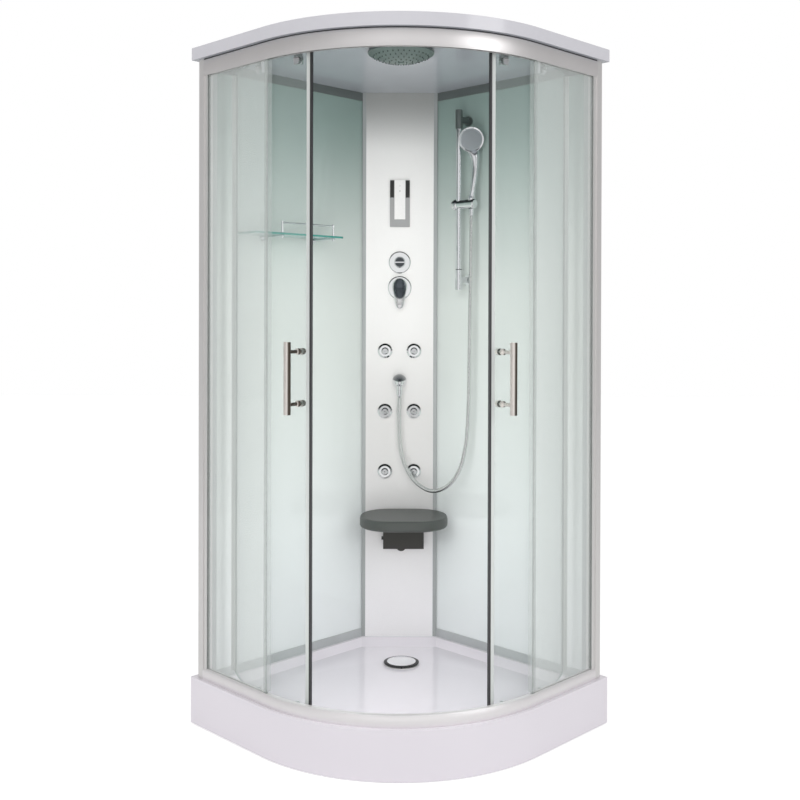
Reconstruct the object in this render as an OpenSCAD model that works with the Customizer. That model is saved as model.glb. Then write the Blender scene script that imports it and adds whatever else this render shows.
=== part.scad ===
// Quadrant shower cabin with a round front, two bent sliding doors, a back
// column with mixer, body jets, hand shower and fold-up seat, and a roof pan.
// Millimetres. X runs across the cabin, -Y is the front, Z is up from the floor.

/* [Plan] */
// Length of each wall side of the tray
side = 900; // [890:1:930]
// Radius of the round front
bend_r = 550; // [545:1:555]

/* [Tray] */
// Height of the tray rim above the floor
tray_h = 142; // [138:1:160]
// Depth of the ledge that carries the walls, below the rim
ledge_drop = 22; // [18:1:26]
// Depth of the basin edge below the rim
edge_drop = 42; // [38:1:44]
// Depth of the tray floor at the drain, below the rim
floor_drop = 48; // [46:1:52]
// Width of the flat front rim
rim_w = 46; // [44:1:52]
// Width of the ledge along each wall
ledge_w = 40; // [36:1:46]
// Distance of the straight back edge of the basin from the back corner
basin_back = 185; // [182:1:195]
// Run of the sloping basin side
basin_slope = 28; // [20:1:34]
// Wall thickness of the tray
tray_wall = 6; // [5:0.5:8]
// Thickness of the tray floor at the drain
floor_t = 10; // [8:0.5:12]
// Width of the upstand against each wall
upstand = 12; // [10:0.5:12]
// Gap under the apron
apron_gap = 2; // [1:0.5:5]

/* [Tray frame and feet] */
// Height of a frame bar
tube = 30; // [25:1:34]
// Thickness of a frame bar
bar_t = 8; // [5:1:12]
// Radius of a foot pad
foot_r = 25; // [20:1:30]
// Height of a foot pad
foot_t = 8; // [6:1:12]
// Radius of a foot screw
screw_r = 5; // [4:0.5:6]
// Distance of the frame bars from the walls
tube_in = 90; // [80:1:100]

/* [Waste] */
// Distance of the drain from the back corner
drain_d = 379; // [370:1:390]
// Sideways place of the drain
drain_x = 8; // [0:1:12]
// Radius of the drain hole in the tray
drain_r = 45; // [43:0.5:46]
// Radius of the flange on the tray floor
flange_r = 56; // [54:1:58]
// Wall of the waste body
waste_wall = 4; // [3:0.5:5]
// Radius of the outlet stub
outlet_r = 20; // [18:0.5:22]
// Length of the outlet stub
outlet_len = 30; // [25:1:38]
// Radius of the drain cap
cap_r = 58; // [56:1:60]
// Height of the drain cap dome
cap_rise = 6; // [5:0.5:9]

/* [Walls and column] */
// Height of the underside of the roof
roof_z = 2020; // [2010:1:2040]
// Distance of the wall frame back from the wall plane
frame_back = 12.3; // [12.1:0.1:13]
// Depth of the wall frame
frame_t = 15.7; // [15:0.1:16]
// Face width of the wall frame
frame_w = 28; // [24:1:32]
// Thickness of the wall glass
wall_glass_t = 6; // [5:0.5:6]
// Depth of the wall glass in its frame
glass_bite = 9; // [7:1:12]
// Half width of the column
column_half = 118; // [116:1:122]
// Distance of the column face from the back corner
column_d = 170.4; // [169.8:0.1:172]
// Thickness of the column panel
column_t = 4; // [3:0.5:5]

/* [Roof] */
// Height of the roof pan
roof_h = 37; // [32:1:45]
// Wall of the roof pan
roof_wall = 6; // [5:0.5:8]
// Distance of the head shower from the back corner
rose_d = 778; // [760:1:800]
// Radius of the head shower
rose_r = 97; // [90:1:105]
// Depth of the head shower dome
rose_dome = 26; // [20:1:30]
// Height of the head shower rim
rose_rim = 5; // [4:0.5:8]
// Gap between head shower and ceiling
rose_gap = 8; // [6:1:12]
// Radius of the feed pipe
feed_r = 8; // [7:0.5:9]

/* [Rails and posts] */
// Setback of the rails from the tray edge
rail_in = 10; // [9:0.5:11]
// Height of the bottom rail
sill_h = 33; // [30:1:35]
// Height of the top rail
header_h = 51; // [48:1:56]
// Wall of the rails
rail_wall = 3; // [2.5:0.1:3.2]
// Height of the upper wheel track above the lower edge of the top rail
track_up = 20; // [18:1:22]
// Height of the lower wheel track above the tray rim
track_low = 8; // [6:1:9]
// Thickness of a wheel track
track_t = 3.5; // [3:0.1:4]
// Width of a post along the front
post_v = 34; // [32:1:36]
// Rounding of the outer corner of a post
post_round = 14; // [10:1:18]

/* [Front glass] */
// Thickness of the front glass
glass_t = 5; // [4.5:0.1:5.2]
// Setback of the middle of the fixed glass from the tray edge
fixed_in = 22; // [21.5:0.1:22.5]
// Place of the free edge of the fixed glass along the front
fixed_edge = 343; // [335:1:345]
// Setback of the middle of the door glass from the tray edge, doors closed
door_in = 45; // [44.5:0.1:45.5]
// Setback of the wheel track from the tray edge
track_in = 37; // [36.5:0.1:37.5]
// Angle that one door spans
door_span = 48; // [47.5:0.1:49]
// Gap between door glass and lower track
glass_gap = 2.3; // [2:0.1:3]
// Gap between the door glass top and the upper track
glass_head = 6; // [5:0.5:8]

/* [Door wheels] */
// Radius of a wheel
wheel_r = 10; // [9:0.5:10.5]
// Width of a wheel
wheel_t = 5; // [4:0.5:5.5]
// Radius of a wheel pin
pin_r = 3; // [2.5:0.1:3.5]
// Angle of the lead wheel behind the front edge of the door
lead_at = 5.9; // [5:0.1:7]
// Angle of the trail wheel behind the front edge of the door
trail_at = 24.9; // [24:0.1:26]
// Angle of the lead wheel round the rail while the doors stand open
open_at = 35; // [34:0.1:35.4]

/* [Door handles] */
// Angle of a handle behind the front edge of the door
handle_at = 4.4; // [4:0.1:5]
// Distance of the handle bar from the middle of the glass
handle_out = 60; // [45:1:62]
// Length of a handle bar
handle_len = 200; // [180:1:220]
// Radius of a handle bar
bar_r = 10; // [8:0.1:10.5]
// Height of the middle of the handles
handle_z = 1074; // [1000:1:1150]
// Distance between the handle fixings
handle_pitch = 145; // [130:1:160]

/* [Mixer and diverter] */
// Height of the mixer
mixer_z = 1339; // [1330:1:1345]
// Radius of the mixer plate
mixer_plate_r = 41; // [40:0.5:44]
// Height of the diverter
diverter_z = 1428; // [1424:1:1440]
// Radius of the diverter plate
diverter_plate_r = 38; // [34:0.5:40]
// Radius of the diverter knob
knob_r = 19.5; // [17:0.5:22]
// Thickness of the plates
plate_t = 6; // [5:0.5:8]
// Length of the lever from the stem to its tip
lever_len = 65; // [60:1:72]
// Radius of the lever head
lever_r = 28; // [26:0.5:29]

/* [Body jets] */
// Half distance between the two rows of jets
jet_x = 50.5; // [45:0.5:58]
// Height of the lowest jets
jet_low = 698; // [660:1:720]
// Distance between jets up the column
jet_pitch = 210.5; // [200:0.5:215]
// Radius of a jet ring
jet_ring_r = 25.5; // [24:0.5:28]
// Radius of a jet ball
jet_ball_r = 15; // [14:0.5:16]

/* [Hand shower outlet] */
// Height of the hose outlet
elbow_z = 1012; // [1000:1:1025]
// Distance of the outlet from the column face
elbow_out = 48; // [46:1:52]
// Radius of the domed outlet cover
elbow_r = 26; // [24:0.5:28]
// Length of the domed outlet cover
elbow_len = 66; // [62:1:70]
// Radius of the hose
hose_r = 7; // [6.5:0.1:7.5]
// Ribs along the hose
hose_ribs = 180; // [100:10:200]
// Depth of a rib groove
rib_depth = 0.9; // [0.6:0.1:1.2]

/* [Soap dispenser] */
// Width of the dispenser
soap_w = 69; // [64:1:74]
// Height of the dispenser
soap_h = 163; // [150:1:170]
// Height of its lower edge
soap_z = 1552; // [1540:1:1570]
// Width of the push lever
soap_lever_w = 38; // [34:1:42]
// Distance that the dispenser stands out of the column
soap_out = 9; // [8:0.5:12]

/* [Seat] */
// Width of the seat
seat_w = 294; // [280:1:310]
// Depth of the seat from its pivot to the front edge
seat_reach = 226; // [210:1:240]
// Height of the top of the seat
seat_z = 572; // [560:1:590]
// Thickness of the seat
seat_t = 35; // [33:1:38]
// Sideways place of the seat
seat_x = 15; // [0:1:20]
// Half width of the seat bracket
bracket_half = 70; // [66:1:76]
// Height of the seat bracket
bracket_h = 95; // [90:1:105]
// Radius of the seat pin
seat_pin_r = 4; // [3.5:0.1:4.5]

/* [Shelf] */
// Height of the underside of the shelf
shelf_z = 1497; // [1480:1:1520]
// Thickness of the shelf glass
shelf_t = 6; // [5:0.5:8]
// Near end of the shelf, from the back corner
shelf_s0 = 394; // [380:1:410]
// Far end of the shelf, from the back corner
shelf_s1 = 761; // [740:1:780]
// Distance of the shelf front from the wall plane
shelf_w = 140; // [130:1:150]
// Height of the shelf rail above the glass
shelf_rail_h = 36; // [30:1:45]

/* [Hand shower rail] */
// Distance of the rail along the right wall from the back corner
riser_s = 355; // [350:1:360]
// Distance of the rail from the wall plane
riser_w = 75; // [72:1:78]
// Radius of the rail
riser_r = 10; // [9:0.5:10.5]
// Length of the rail
riser_len = 605; // [590:1:620]
// Gap between the ceiling and the top of the rail
riser_drop = 84; // [75:1:95]
// Height of a rail bracket
riser_clamp_h = 66; // [60:1:72]
// Distance of the slider below the ceiling
slider_drop = 404; // [400:1:408]
// Distance of the handset cone from the rail
cradle_out = 56; // [54:0.5:58]
// Radius of the handset head
head_r = 42; // [38:1:46]

/* [Hidden] */
$fn = 48;
BIG_FN = 128;

// Clearances: seated pieces, running pins, parts that pass each other
seat_gap = 0.2;
run_gap = 0.05;
pass_gap = 0.4;

// Plan geometry
flat = side - bend_r;
depth = flat * sqrt(2) + bend_r;
mid_y = depth / 2 - flat * sqrt(2);
ledge_z = tray_h - ledge_drop;
edge_z = tray_h - edge_drop;
floor_z = tray_h - floor_drop;
under_z = floor_z - floor_t;
wall_face = frame_back + frame_t;
wall_skin = frame_back + (frame_t + wall_glass_t) / 2 + 1.55;

// Rails and doors
sill_top = tray_h + sill_h;
header_z = roof_z - header_h;
low_track_z = tray_h + track_low;
up_track_z = header_z + track_up;
track_end = track_in + 5;
door_r = bend_r - door_in;
track_r = bend_r - track_in;
glass_z0 = low_track_z + glass_gap;
glass_z1 = up_track_z - track_t - glass_head;
low_wheel_z = low_track_z + wheel_r + seat_gap;
up_wheel_z = up_track_z + wheel_r + seat_gap;
post_v0 = frame_back;
post_v1 = post_v0 + post_v;
channel_v1 = post_v1 + 14;

// Pose of an open door. The two wheels of a door stand on the round track
// when it is closed, and the trail wheel on the straight track when it is
// open. The pole is the one point about which the door turns between both.
chord = 2 * track_r * sin((trail_at - lead_at) / 2);
lead_closed = [track_r * cos(45 - lead_at), track_r * sin(45 - lead_at)];
trail_closed = [track_r * cos(45 - trail_at), track_r * sin(45 - trail_at)];
lead_open = [track_r * cos(45 - open_at), track_r * sin(45 - open_at)];
trail_open = [track_r, lead_open[1] - sqrt(pow(chord, 2) - pow(track_r - lead_open[0], 2))];
function heading(p) = atan2(p[1], p[0]);
door_open = heading(trail_closed - lead_closed) - heading(trail_open - lead_open);
lead_step = lead_open - lead_closed;
pole_reach = norm(lead_step) / 2 / tan(door_open / 2);
pole_uv = (lead_open + lead_closed) / 2
    + pole_reach * [lead_step[1], -lead_step[0]] / norm(lead_step);
pole = [(pole_uv[1] - pole_uv[0]) / sqrt(2), mid_y - (pole_uv[0] + pole_uv[1]) / sqrt(2)];

// Colours
WHITE = [0.9, 0.88, 0.91];
SILVER = [0.76, 0.75, 0.76];
CHROME = [0.82, 0.84, 0.86];
STEEL = [0.62, 0.62, 0.62];
BRASS = [0.72, 0.6, 0.35];
RUBBER = [0.2, 0.2, 0.22];
CLEAR = [0.75, 0.88, 0.85, 0.35];
PAINTED = [0.78, 0.86, 0.83];
SEAT_GREY = [0.3, 0.32, 0.31];

function fwd(d) = depth / 2 - d;

module both_sides() {
    children();
    mirror([1, 0, 0]) children();
}

// Plan frame: x runs along the left wall and y along the right wall
module plan() {
    translate([0, depth / 2, 0]) rotate(225) children();
}

// Plan outline of the tray, drawn in from the front edge by w
module outline(w) {
    square([side - w, flat]);
    square([flat, side - w]);
    translate([flat, flat]) intersection() {
        circle(r = bend_r - w, $fn = BIG_FN);
        square(bend_r);
    }
}

// Outline that also stands in from both walls
module inner_outline(w, wall) {
    intersection() {
        outline(w);
        translate([wall, wall]) square(side);
    }
}

// One straight stretch of a front profile, whose x is the setback
module front_flat(v0, v1) {
    translate([0, v1, 0]) rotate([90, 0, 0]) linear_extrude(v1 - v0)
        translate([side, 0]) mirror([1, 0]) children();
}

// A profile carried along the whole front from post to post
module front_run(v0) {
    plan() {
        translate([flat, flat, 0]) rotate_extrude(angle = 90, $fn = BIG_FN)
            translate([bend_r, 0]) mirror([1, 0]) children();
        front_flat(v0, flat) children();
        mirror([1, -1, 0]) front_flat(v0, flat) children();
    }
}

// A block in plan between two setbacks and two places along the left front
module front_block(w0, w1, v0, v1, z0, z1) {
    plan() translate([side - w1, v0, z0]) cube([w1 - w0, v1 - v0, z1 - z0]);
}

// Cylinder that points out to the front
module out_rod(r, len) {
    rotate([90, 0, 0]) cylinder(r = r, h = len);
}

// Cylinder that points to the right
module side_rod(r, len) {
    rotate([0, 90, 0]) cylinder(r = r, h = len);
}

// A place on the left door, by its angle behind the front edge
module door_at(angle) {
    translate([0, mid_y, 0]) rotate(-angle) children();
}

// Turns the left door from closed to where it stands open
module as_open() {
    translate([pole[0], pole[1], 0]) rotate(-door_open)
        translate([-pole[0], -pole[1], 0]) children();
}

// Tray

module basin_slab(w, wall, back, z) {
    translate([0, 0, z]) linear_extrude(0.1) difference() {
        inner_outline(w, wall);
        polygon([[-1, -1], [back * sqrt(2), -1], [-1, back * sqrt(2)]]);
    }
}

module basin() {
    // Sloping side, then the shallow fall to the drain
    hull($fn = 32) {
        basin_slab(rim_w + 2, ledge_w, basin_back, ledge_z);
        basin_slab(rim_w + basin_slope, ledge_w + basin_slope, basin_back + 1.4 * basin_slope, edge_z);
    }
    hull($fn = 32) {
        basin_slab(rim_w + basin_slope, ledge_w + basin_slope, basin_back + 1.4 * basin_slope, edge_z);
        rotate(-225) translate([drain_x, -drain_d, floor_z]) cylinder(r = flange_r + 8, h = 1);
    }
    translate([0, 0, ledge_z]) linear_extrude(ledge_drop + 1) inner_outline(rim_w, upstand);
}

module tray() {
    color(WHITE) difference() {
        plan() translate([0, 0, apron_gap]) linear_extrude(tray_h - apron_gap) outline(0);
        plan() basin();
        plan() translate([0, 0, -1]) linear_extrude(under_z + 1) inner_outline(tray_wall, tray_wall);
        // Hollow under the front rim
        front_run(ledge_w) translate([tray_wall, under_z - 1])
            square([rim_w - 2 * tray_wall, tray_h - tray_wall - under_z + 1]);
        translate([drain_x, fwd(drain_d), 0]) cylinder(r = drain_r, h = tray_h);
    }
}

// Places of the feet along the two walls
foot_far = side - 100;
foot_mid = 445;
foot_front = 640;
FEET = [
    [tube_in, tube_in], [foot_mid, tube_in], [foot_far, tube_in],
    [tube_in, foot_mid], [tube_in, foot_far], [foot_mid, foot_mid], [foot_front, foot_front]
];
tube_top = under_z - 10;
tube_z = tube_top - tube;

module frame_bar(len) {
    translate([0, -bar_t / 2, 0]) cube([len, bar_t, tube]);
}

module tray_frame() {
    color(STEEL) plan() difference() {
        union() {
            translate([0, 0, tube_z]) {
                translate([tube_in, tube_in, 0]) frame_bar(foot_far - tube_in);
                translate([tube_in, tube_in, 0]) rotate(90) frame_bar(foot_far - tube_in);
                translate([foot_far, tube_in, 0]) rotate(135) frame_bar((foot_far - tube_in) * sqrt(2));
                translate([foot_mid, foot_mid, 0]) rotate(45) frame_bar((foot_front - foot_mid) * sqrt(2));
            }
            for (f = FEET) translate([f[0], f[1], tube_z]) cylinder(r = 3 * screw_r, h = under_z - tube_z);
        }
        for (f = FEET) translate([f[0], f[1], 0]) cylinder(r = screw_r + seat_gap, h = tray_h);
    }
}

module levelling_feet() {
    color(RUBBER) plan() for (f = FEET) translate([f[0], f[1], 0]) {
        cylinder(r = foot_r, h = foot_t);
        cylinder(r = screw_r, h = tube_top - 2);
        translate([0, 0, tube_z - 8]) cylinder(r = 2 * screw_r, h = 8 - seat_gap, $fn = 6);
    }
}

// Waste

waste_z0 = 44;
flange_t = 1.5;
cup_r = drain_r + 2;

module drain_body() {
    color(STEEL) translate([drain_x, fwd(drain_d), 0]) {
        difference() {
            union() {
                translate([0, 0, floor_z]) cylinder(r = flange_r, h = flange_t);
                translate([0, 0, waste_z0]) cylinder(r = drain_r - seat_gap, h = floor_z - waste_z0);
                translate([0, 0, waste_z0]) cylinder(r = cup_r, h = under_z - 8 - waste_z0);
                translate([0, 0, under_z - 8]) cylinder(r = flange_r, h = 5);
                // Tail that goes down into the floor pipe
                translate([0, 0, waste_z0 - outlet_len]) cylinder(r = outlet_r, h = outlet_len + waste_wall);
            }
            translate([0, 0, waste_z0 + waste_wall])
                cylinder(r = drain_r - waste_wall, h = floor_z);
            translate([0, 0, waste_z0 - outlet_len - 1])
                cylinder(r = outlet_r - waste_wall + 1, h = outlet_len + 3 * waste_wall);
        }
    }
    // Seal ring between tray and clamp flange
    color(RUBBER) translate([drain_x, fwd(drain_d), under_z - 2.9]) difference() {
        cylinder(r = flange_r, h = 2.8);
        translate([0, 0, -1]) cylinder(r = drain_r + 1, h = 5);
    }
}

cap_z = floor_z + flange_t + 4;

module drain_cap() {
    dome_r = (pow(cap_r, 2) + pow(cap_rise, 2)) / (2 * cap_rise);
    sweep = asin(cap_r / dome_r);
    color(CHROME) translate([drain_x, fwd(drain_d), 0]) {
        // Dome with a short rim
        translate([0, 0, cap_z]) rotate_extrude($fn = 96) polygon(concat(
            [[0, 0], [cap_r, 0]],
            [for (i = [8:-1:0]) [dome_r * sin(sweep * i / 8), 1.5 + cap_rise - dome_r * (1 - cos(sweep * i / 8))]]));
        // Three legs that rest on the flange, and the lifting stem
        for (a = [30:120:270]) rotate(a) translate([drain_r + 4, 0, floor_z + flange_t])
            cylinder(r = 3, h = cap_z - floor_z - flange_t + 0.5);
        translate([0, 0, floor_z - 30]) cylinder(r = 6, h = cap_z - floor_z + 30.5);
    }
}

// Walls and column

wall_start = 180;
wall_end = side - rim_w - seat_gap;
glass_v = frame_back + (frame_t - wall_glass_t) / 2 + 1.5;

module wall_frames() {
    color(SILVER) both_sides() plan() difference() {
        translate([wall_start, frame_back, ledge_z])
            cube([wall_end - wall_start, frame_t, roof_z - ledge_z]);
        translate([wall_start + frame_w, 0, ledge_z + frame_w])
            cube([wall_end - wall_start - 2 * frame_w, 3 * frame_t, roof_z - ledge_z - 2 * frame_w]);
        translate([wall_start + frame_w - glass_bite - 1, glass_v - seat_gap, ledge_z + frame_w - glass_bite - 1])
            cube([wall_end - wall_start - 2 * (frame_w - glass_bite - 1), wall_glass_t + 2 * seat_gap,
                roof_z - ledge_z - 2 * (frame_w - glass_bite - 1)]);
    }
}

module wall_glass() {
    color(PAINTED) both_sides() plan()
        translate([wall_start + frame_w - glass_bite, glass_v, ledge_z + frame_w - glass_bite])
            cube([wall_end - wall_start - 2 * (frame_w - glass_bite), wall_glass_t,
                roof_z - ledge_z - 2 * (frame_w - glass_bite)]);
}

// Where the wall face meets a plane at the given half width
function wall_d(x) = x + wall_face * sqrt(2);

module column_panel() {
    column_h = roof_z - ledge_z;
    color(SILVER) difference() {
        union() {
            translate([-column_half, fwd(column_d), ledge_z]) cube([2 * column_half, column_t, column_h]);
            both_sides() translate([-column_half, fwd(column_d), ledge_z])
                cube([column_t, column_d - wall_d(column_half) - seat_gap, column_h]);
        }
        translate([0, fwd(column_d) + 20, 0]) {
            for (j = [0:5]) jet_place(j) out_rod(jet_ball_r + 1.5, 40);
            translate([0, 0, mixer_z]) out_rod(stem_r + 2, 40);
            translate([0, 0, diverter_z]) out_rod(divert_pin_r + 2, 40);
            translate([0, 0, elbow_z]) out_rod(inlet_r + 0.5, 40);
            translate([0, 0, soap_z + soap_h / 2]) out_rod(soap_neck_r + 0.5, 40);
        }
    }
}

module column_trims() {
    near = column_half + seat_gap;
    color(STEEL) both_sides() translate([0, depth / 2, ledge_z]) linear_extrude(roof_z - ledge_z)
        polygon([
            [-near, -column_d],
            [-(column_d - wall_face * sqrt(2) - seat_gap), -column_d],
            [-near, -wall_d(near) - seat_gap * 1.5]
        ]);
}

// Roof

roof_sheet = 5;

module roof() {
    color(WHITE) difference() {
        plan() translate([0, 0, roof_z]) linear_extrude(roof_h) outline(0);
        plan() translate([0, 0, roof_z + roof_sheet]) linear_extrude(roof_h)
            inner_outline(roof_wall, roof_wall);
        translate([0, fwd(rose_d), 0]) cylinder(r = neck_r + 0.5, h = 3 * roof_z);
        translate([0, fwd(riser_pipe_d), 0]) cylinder(r = feed_r + 1, h = 3 * roof_z);
    }
}

neck_r = 10.5;
rose_z = roof_z - rose_gap;

module rose() {
    steps = 12;
    sweep = asin(min(1, rose_r / cap_sphere));
    color(CHROME) translate([0, fwd(rose_d), 0]) {
        translate([0, 0, rose_z - rose_rim]) cylinder(r = rose_r, h = rose_rim, $fn = 96);
        translate([0, 0, rose_z - rose_rim]) rotate_extrude($fn = 96)
            polygon(concat([[0, 0.5], [rose_r - 2, 0.5]],
                [for (i = [steps:-1:0]) [
                    (cap_sphere * sin(sweep * i / steps)) * (rose_r - 2) / rose_r,
                    -cap_sphere * cos(sweep * i / steps) + cap_sphere - rose_dome
                ]]));
        // Swivel ball and neck
        translate([0, 0, rose_z - 1]) cylinder(r1 = 20, r2 = neck_r, h = rose_gap);
        translate([0, 0, rose_z - 1]) cylinder(r = neck_r, h = rose_gap + roof_sheet + 6);
    }
}
cap_sphere = (pow(rose_r, 2) + pow(rose_dome, 2)) / (2 * rose_dome);

riser_pipe_d = 126;
feed_boss_r = 17;
feed_boss_h = 24;
feed_rise = 16;
join_drop = 30;
feed_z = roof_z + roof_sheet + feed_rise;
pipe_join_z = roof_z - join_drop;

module rose_feed() {
    color(BRASS) difference() {
        union() {
            translate([0, fwd(rose_d), roof_z + roof_sheet]) cylinder(r = feed_boss_r, h = feed_boss_h);
            translate([0, fwd(rose_d), feed_z]) rotate([-90, 0, 0])
                cylinder(r = feed_r, h = rose_d - riser_pipe_d);
            translate([0, fwd(riser_pipe_d), pipe_join_z]) cylinder(r = feed_r, h = feed_z - pipe_join_z);
            translate([0, fwd(riser_pipe_d), feed_z]) sphere(r = feed_r);
        }
        translate([0, fwd(rose_d), roof_z]) cylinder(r = neck_r + run_gap, h = roof_sheet + 6);
        translate([0, fwd(rose_d), roof_z]) cylinder(r = feed_r - 2, h = roof_sheet + feed_rise);
        translate([0, fwd(rose_d), feed_z]) rotate([-90, 0, 0])
            cylinder(r = feed_r - 2, h = rose_d - riser_pipe_d);
        translate([0, fwd(riser_pipe_d), pipe_join_z - 1]) cylinder(r = feed_r - 2, h = feed_z - pipe_join_z);
    }
}

// Rails, posts and front glass

fixed_w0 = fixed_in - glass_t / 2;
fixed_w1 = fixed_in + glass_t / 2;
slot_play = 0.5;

// Bulged outer face between two heights
function bulge(z0, z1, w, rise, n) = [for (i = [0:n]) [
    w + rise * pow(2 * i / n - 1, 2), z0 + (z1 - z0) * i / n
]];

module top_rail_profile() {
    outer = bulge(header_z, roof_z, rail_in, 3.5, 8);
    face_w = rail_in + 3.5;
    polygon(concat(outer, [[face_w + rail_wall, roof_z], [face_w + rail_wall, header_z]]));
    // Flange under the roof
    translate([face_w, roof_z - rail_wall]) square([track_end - face_w, rail_wall]);
    // Track that the upper wheels run on, and the lip behind the fixed glass
    translate([face_w, up_track_z - track_t]) square([track_end - face_w, track_t]);
    translate([fixed_w1 + slot_play, header_z])
        square([rail_wall - 0.5, track_up - track_t + 1]);
}

module top_rail() {
    color(SILVER) front_run(post_v1 + seat_gap) top_rail_profile();
}

sill_in = 28.5;
sill_slot_z = tray_h + 13;

module bottom_rail_profile() {
    difference() {
        union() {
            polygon(concat(
                bulge(tray_h, sill_top - 4, rail_in, 2.5, 8),
                [[rail_in + 5.5, sill_top], [sill_in, sill_top], [sill_in, tray_h]]));
            // Track that the lower wheels run on
            translate([sill_in - 1, low_track_z - track_t]) square([track_end + 3 - sill_in, track_t]);
            translate([track_end + 2 - rail_wall, tray_h]) square([rail_wall, low_track_z - tray_h]);
        }
        // Hollow below the glass slot
        translate([rail_in + 6, tray_h + rail_wall])
            square([sill_in - rail_in - 6 - rail_wall, sill_slot_z - tray_h - 2 * rail_wall]);
    }
}

module bottom_rail() {
    color(SILVER) difference() {
        front_run(post_v1 + seat_gap) bottom_rail_profile();
        both_sides() front_block(fixed_w0 - slot_play, fixed_w1 + slot_play,
            post_v1, fixed_edge + 8, sill_slot_z, sill_top + 1);
    }
}

gasket_t = 2.3;

module posts() {
    color(SILVER) both_sides() plan() {
        difference() {
            union() {
                // Outer post with a rounded corner
                translate([0, 0, tray_h]) linear_extrude(roof_z - tray_h) {
                    translate([side - rim_w, post_v0]) square([rim_w - rail_in - 2 - post_round, post_v]);
                    translate([side - rim_w, post_v0 + post_round])
                        square([rim_w - rail_in - 2, post_v - post_round]);
                    translate([side - rail_in - 2 - post_round, post_v0 + post_round])
                        intersection() {
                            circle(r = post_round);
                            translate([0, -post_round]) square(post_round);
                        }
                }
                // Inner channel that holds the fixed glass, between the rails
                translate([side - fixed_in - 9, post_v1 - 1, sill_top + seat_gap])
                    cube([16, channel_v1 - post_v1 + 1, header_z - sill_top - 2 * seat_gap]);
            }
            translate([side - fixed_w1 - gasket_t, post_v1 + 4, tray_h - 1])
                cube([glass_t + 2 * gasket_t, channel_v1, roof_z]);
        }
    }
}

fixed_z0 = sill_slot_z + 1;
fixed_z1 = up_track_z - track_t - 1;

module fixed_glass() {
    color(CLEAR) both_sides() front_block(fixed_w0, fixed_w1, post_v1 + 5, fixed_edge, fixed_z0, fixed_z1);
}

// The lip stays clear of the lower wheels
lip_lift = 6;

// How far the clear lip leans inward, and how far it runs past the free edge
lip_reach = 5.5;
lip_run = 11;
edge_grip = 1.5;

module glass_seals() {
    z0 = sill_top + seat_gap;
    z1 = header_z - seat_gap;
    color(RUBBER) both_sides() {
        // Gaskets in the post channel
        for (w = [fixed_w0 - gasket_t + 0.1, fixed_w1 + 0.1])
            front_block(w, w + gasket_t - 0.2, post_v1 + 5, channel_v1 + 1.5, z0, z1);
        // Strip on the free edge, with the clear lip that reaches to the door
        plan() translate([0, 0, z0]) linear_extrude(z1 - z0) difference() {
            translate([side - fixed_w1 - edge_grip, fixed_edge - 8]) square([glass_t + 2 * edge_grip, 13]);
            translate([side - fixed_w1 - 0.1, fixed_edge - 10]) square([glass_t + 0.2, 10.1]);
        }
        plan() translate([0, 0, z0 + lip_lift]) linear_extrude(z1 - z0 - lip_lift) polygon([
            [side - fixed_w0, fixed_edge + 4], [side - fixed_w0, fixed_edge + 6],
            [side - fixed_w1 - lip_reach + 1, fixed_edge + lip_run + 1],
            [side - fixed_w1 - lip_reach, fixed_edge + lip_run],
            [side - fixed_w1 - 0.5, fixed_edge + 4]
        ]);
    }
}

stop_v = 220;

module door_stops() {
    color(RUBBER) both_sides() front_block(track_in - 6.5, track_in + 4.5, stop_v, stop_v + 18,
        up_track_z, up_track_z + 18);
}

// Doors, drawn closed on the left side

glass_in_r = door_r - glass_t / 2;
glass_out_r = door_r + glass_t / 2;
edge_at = 8.2 / door_r * 180 / PI;
handle_za = handle_z - handle_pitch / 2;
handle_zb = handle_z + handle_pitch / 2;
bolt_z = header_z - 11;
hole_play = 0.3;

module arc_strip(r0, r1, a0, a1, z0, z1) {
    translate([0, mid_y, z0]) rotate(-90 - a1) rotate_extrude(angle = a1 - a0, $fn = BIG_FN)
        translate([r0, 0]) square([r1 - r0, z1 - z0]);
}

module door_glass() {
    difference() {
        arc_strip(glass_in_r, glass_out_r, edge_at, door_span, glass_z0, glass_z1);
        for (z = [handle_za, handle_zb]) door_at(handle_at)
            translate([0, -glass_in_r + 2 * glass_t, z]) out_rod(handle_bolt_r + hole_play, 8 * glass_t);
        for (a = [lead_at, trail_at]) door_at(a) {
            translate([0, -glass_in_r + 2 * glass_t, low_wheel_z]) out_rod(pin_r + hole_play, 8 * glass_t);
            translate([0, -glass_in_r + 2 * glass_t, bolt_z]) out_rod(bolt_r + hole_play, 8 * glass_t);
        }
    }
}

module left_door_glass() {
    color(CLEAR) as_open() door_glass();
}

module right_door_glass() {
    mirror([1, 0, 0]) left_door_glass();
}

lip_t = 1.5;

module left_door_seals() {
    tip_at = 0.15 / door_r * 180 / PI;
    lip_at = 2 * edge_at;
    trail_end = door_span + 0.5 * edge_at;
    color(RUBBER) as_open() {
        // Magnetic front strip and its clip round the glass edge
        arc_strip(glass_in_r - 2, glass_out_r + 2, tip_at, edge_at - 0.01, glass_z0, glass_z1);
        for (r = [glass_in_r - lip_t - 0.1, glass_out_r + 0.1])
            arc_strip(r, r + lip_t, edge_at - 0.02, lip_at, glass_z0, glass_z1);
        // Rear strip with a lip towards the fixed glass
        arc_strip(glass_in_r - lip_t - 0.1, glass_out_r + lip_t + 0.1, door_span + 0.01, trail_end,
            glass_z0, glass_z1);
        for (r = [glass_in_r - lip_t - 0.1, glass_out_r + 0.1])
            arc_strip(r, r + lip_t, door_span - edge_at, door_span + 0.02, glass_z0, glass_z1);
        arc_strip(glass_out_r, glass_out_r + 10, trail_end - 0.17, trail_end, glass_z0, glass_z1);
    }
}

module right_door_seals() {
    mirror([1, 0, 0]) left_door_seals();
}

handle_bolt_r = 4;
handle_ball_r = 9.5;

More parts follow.
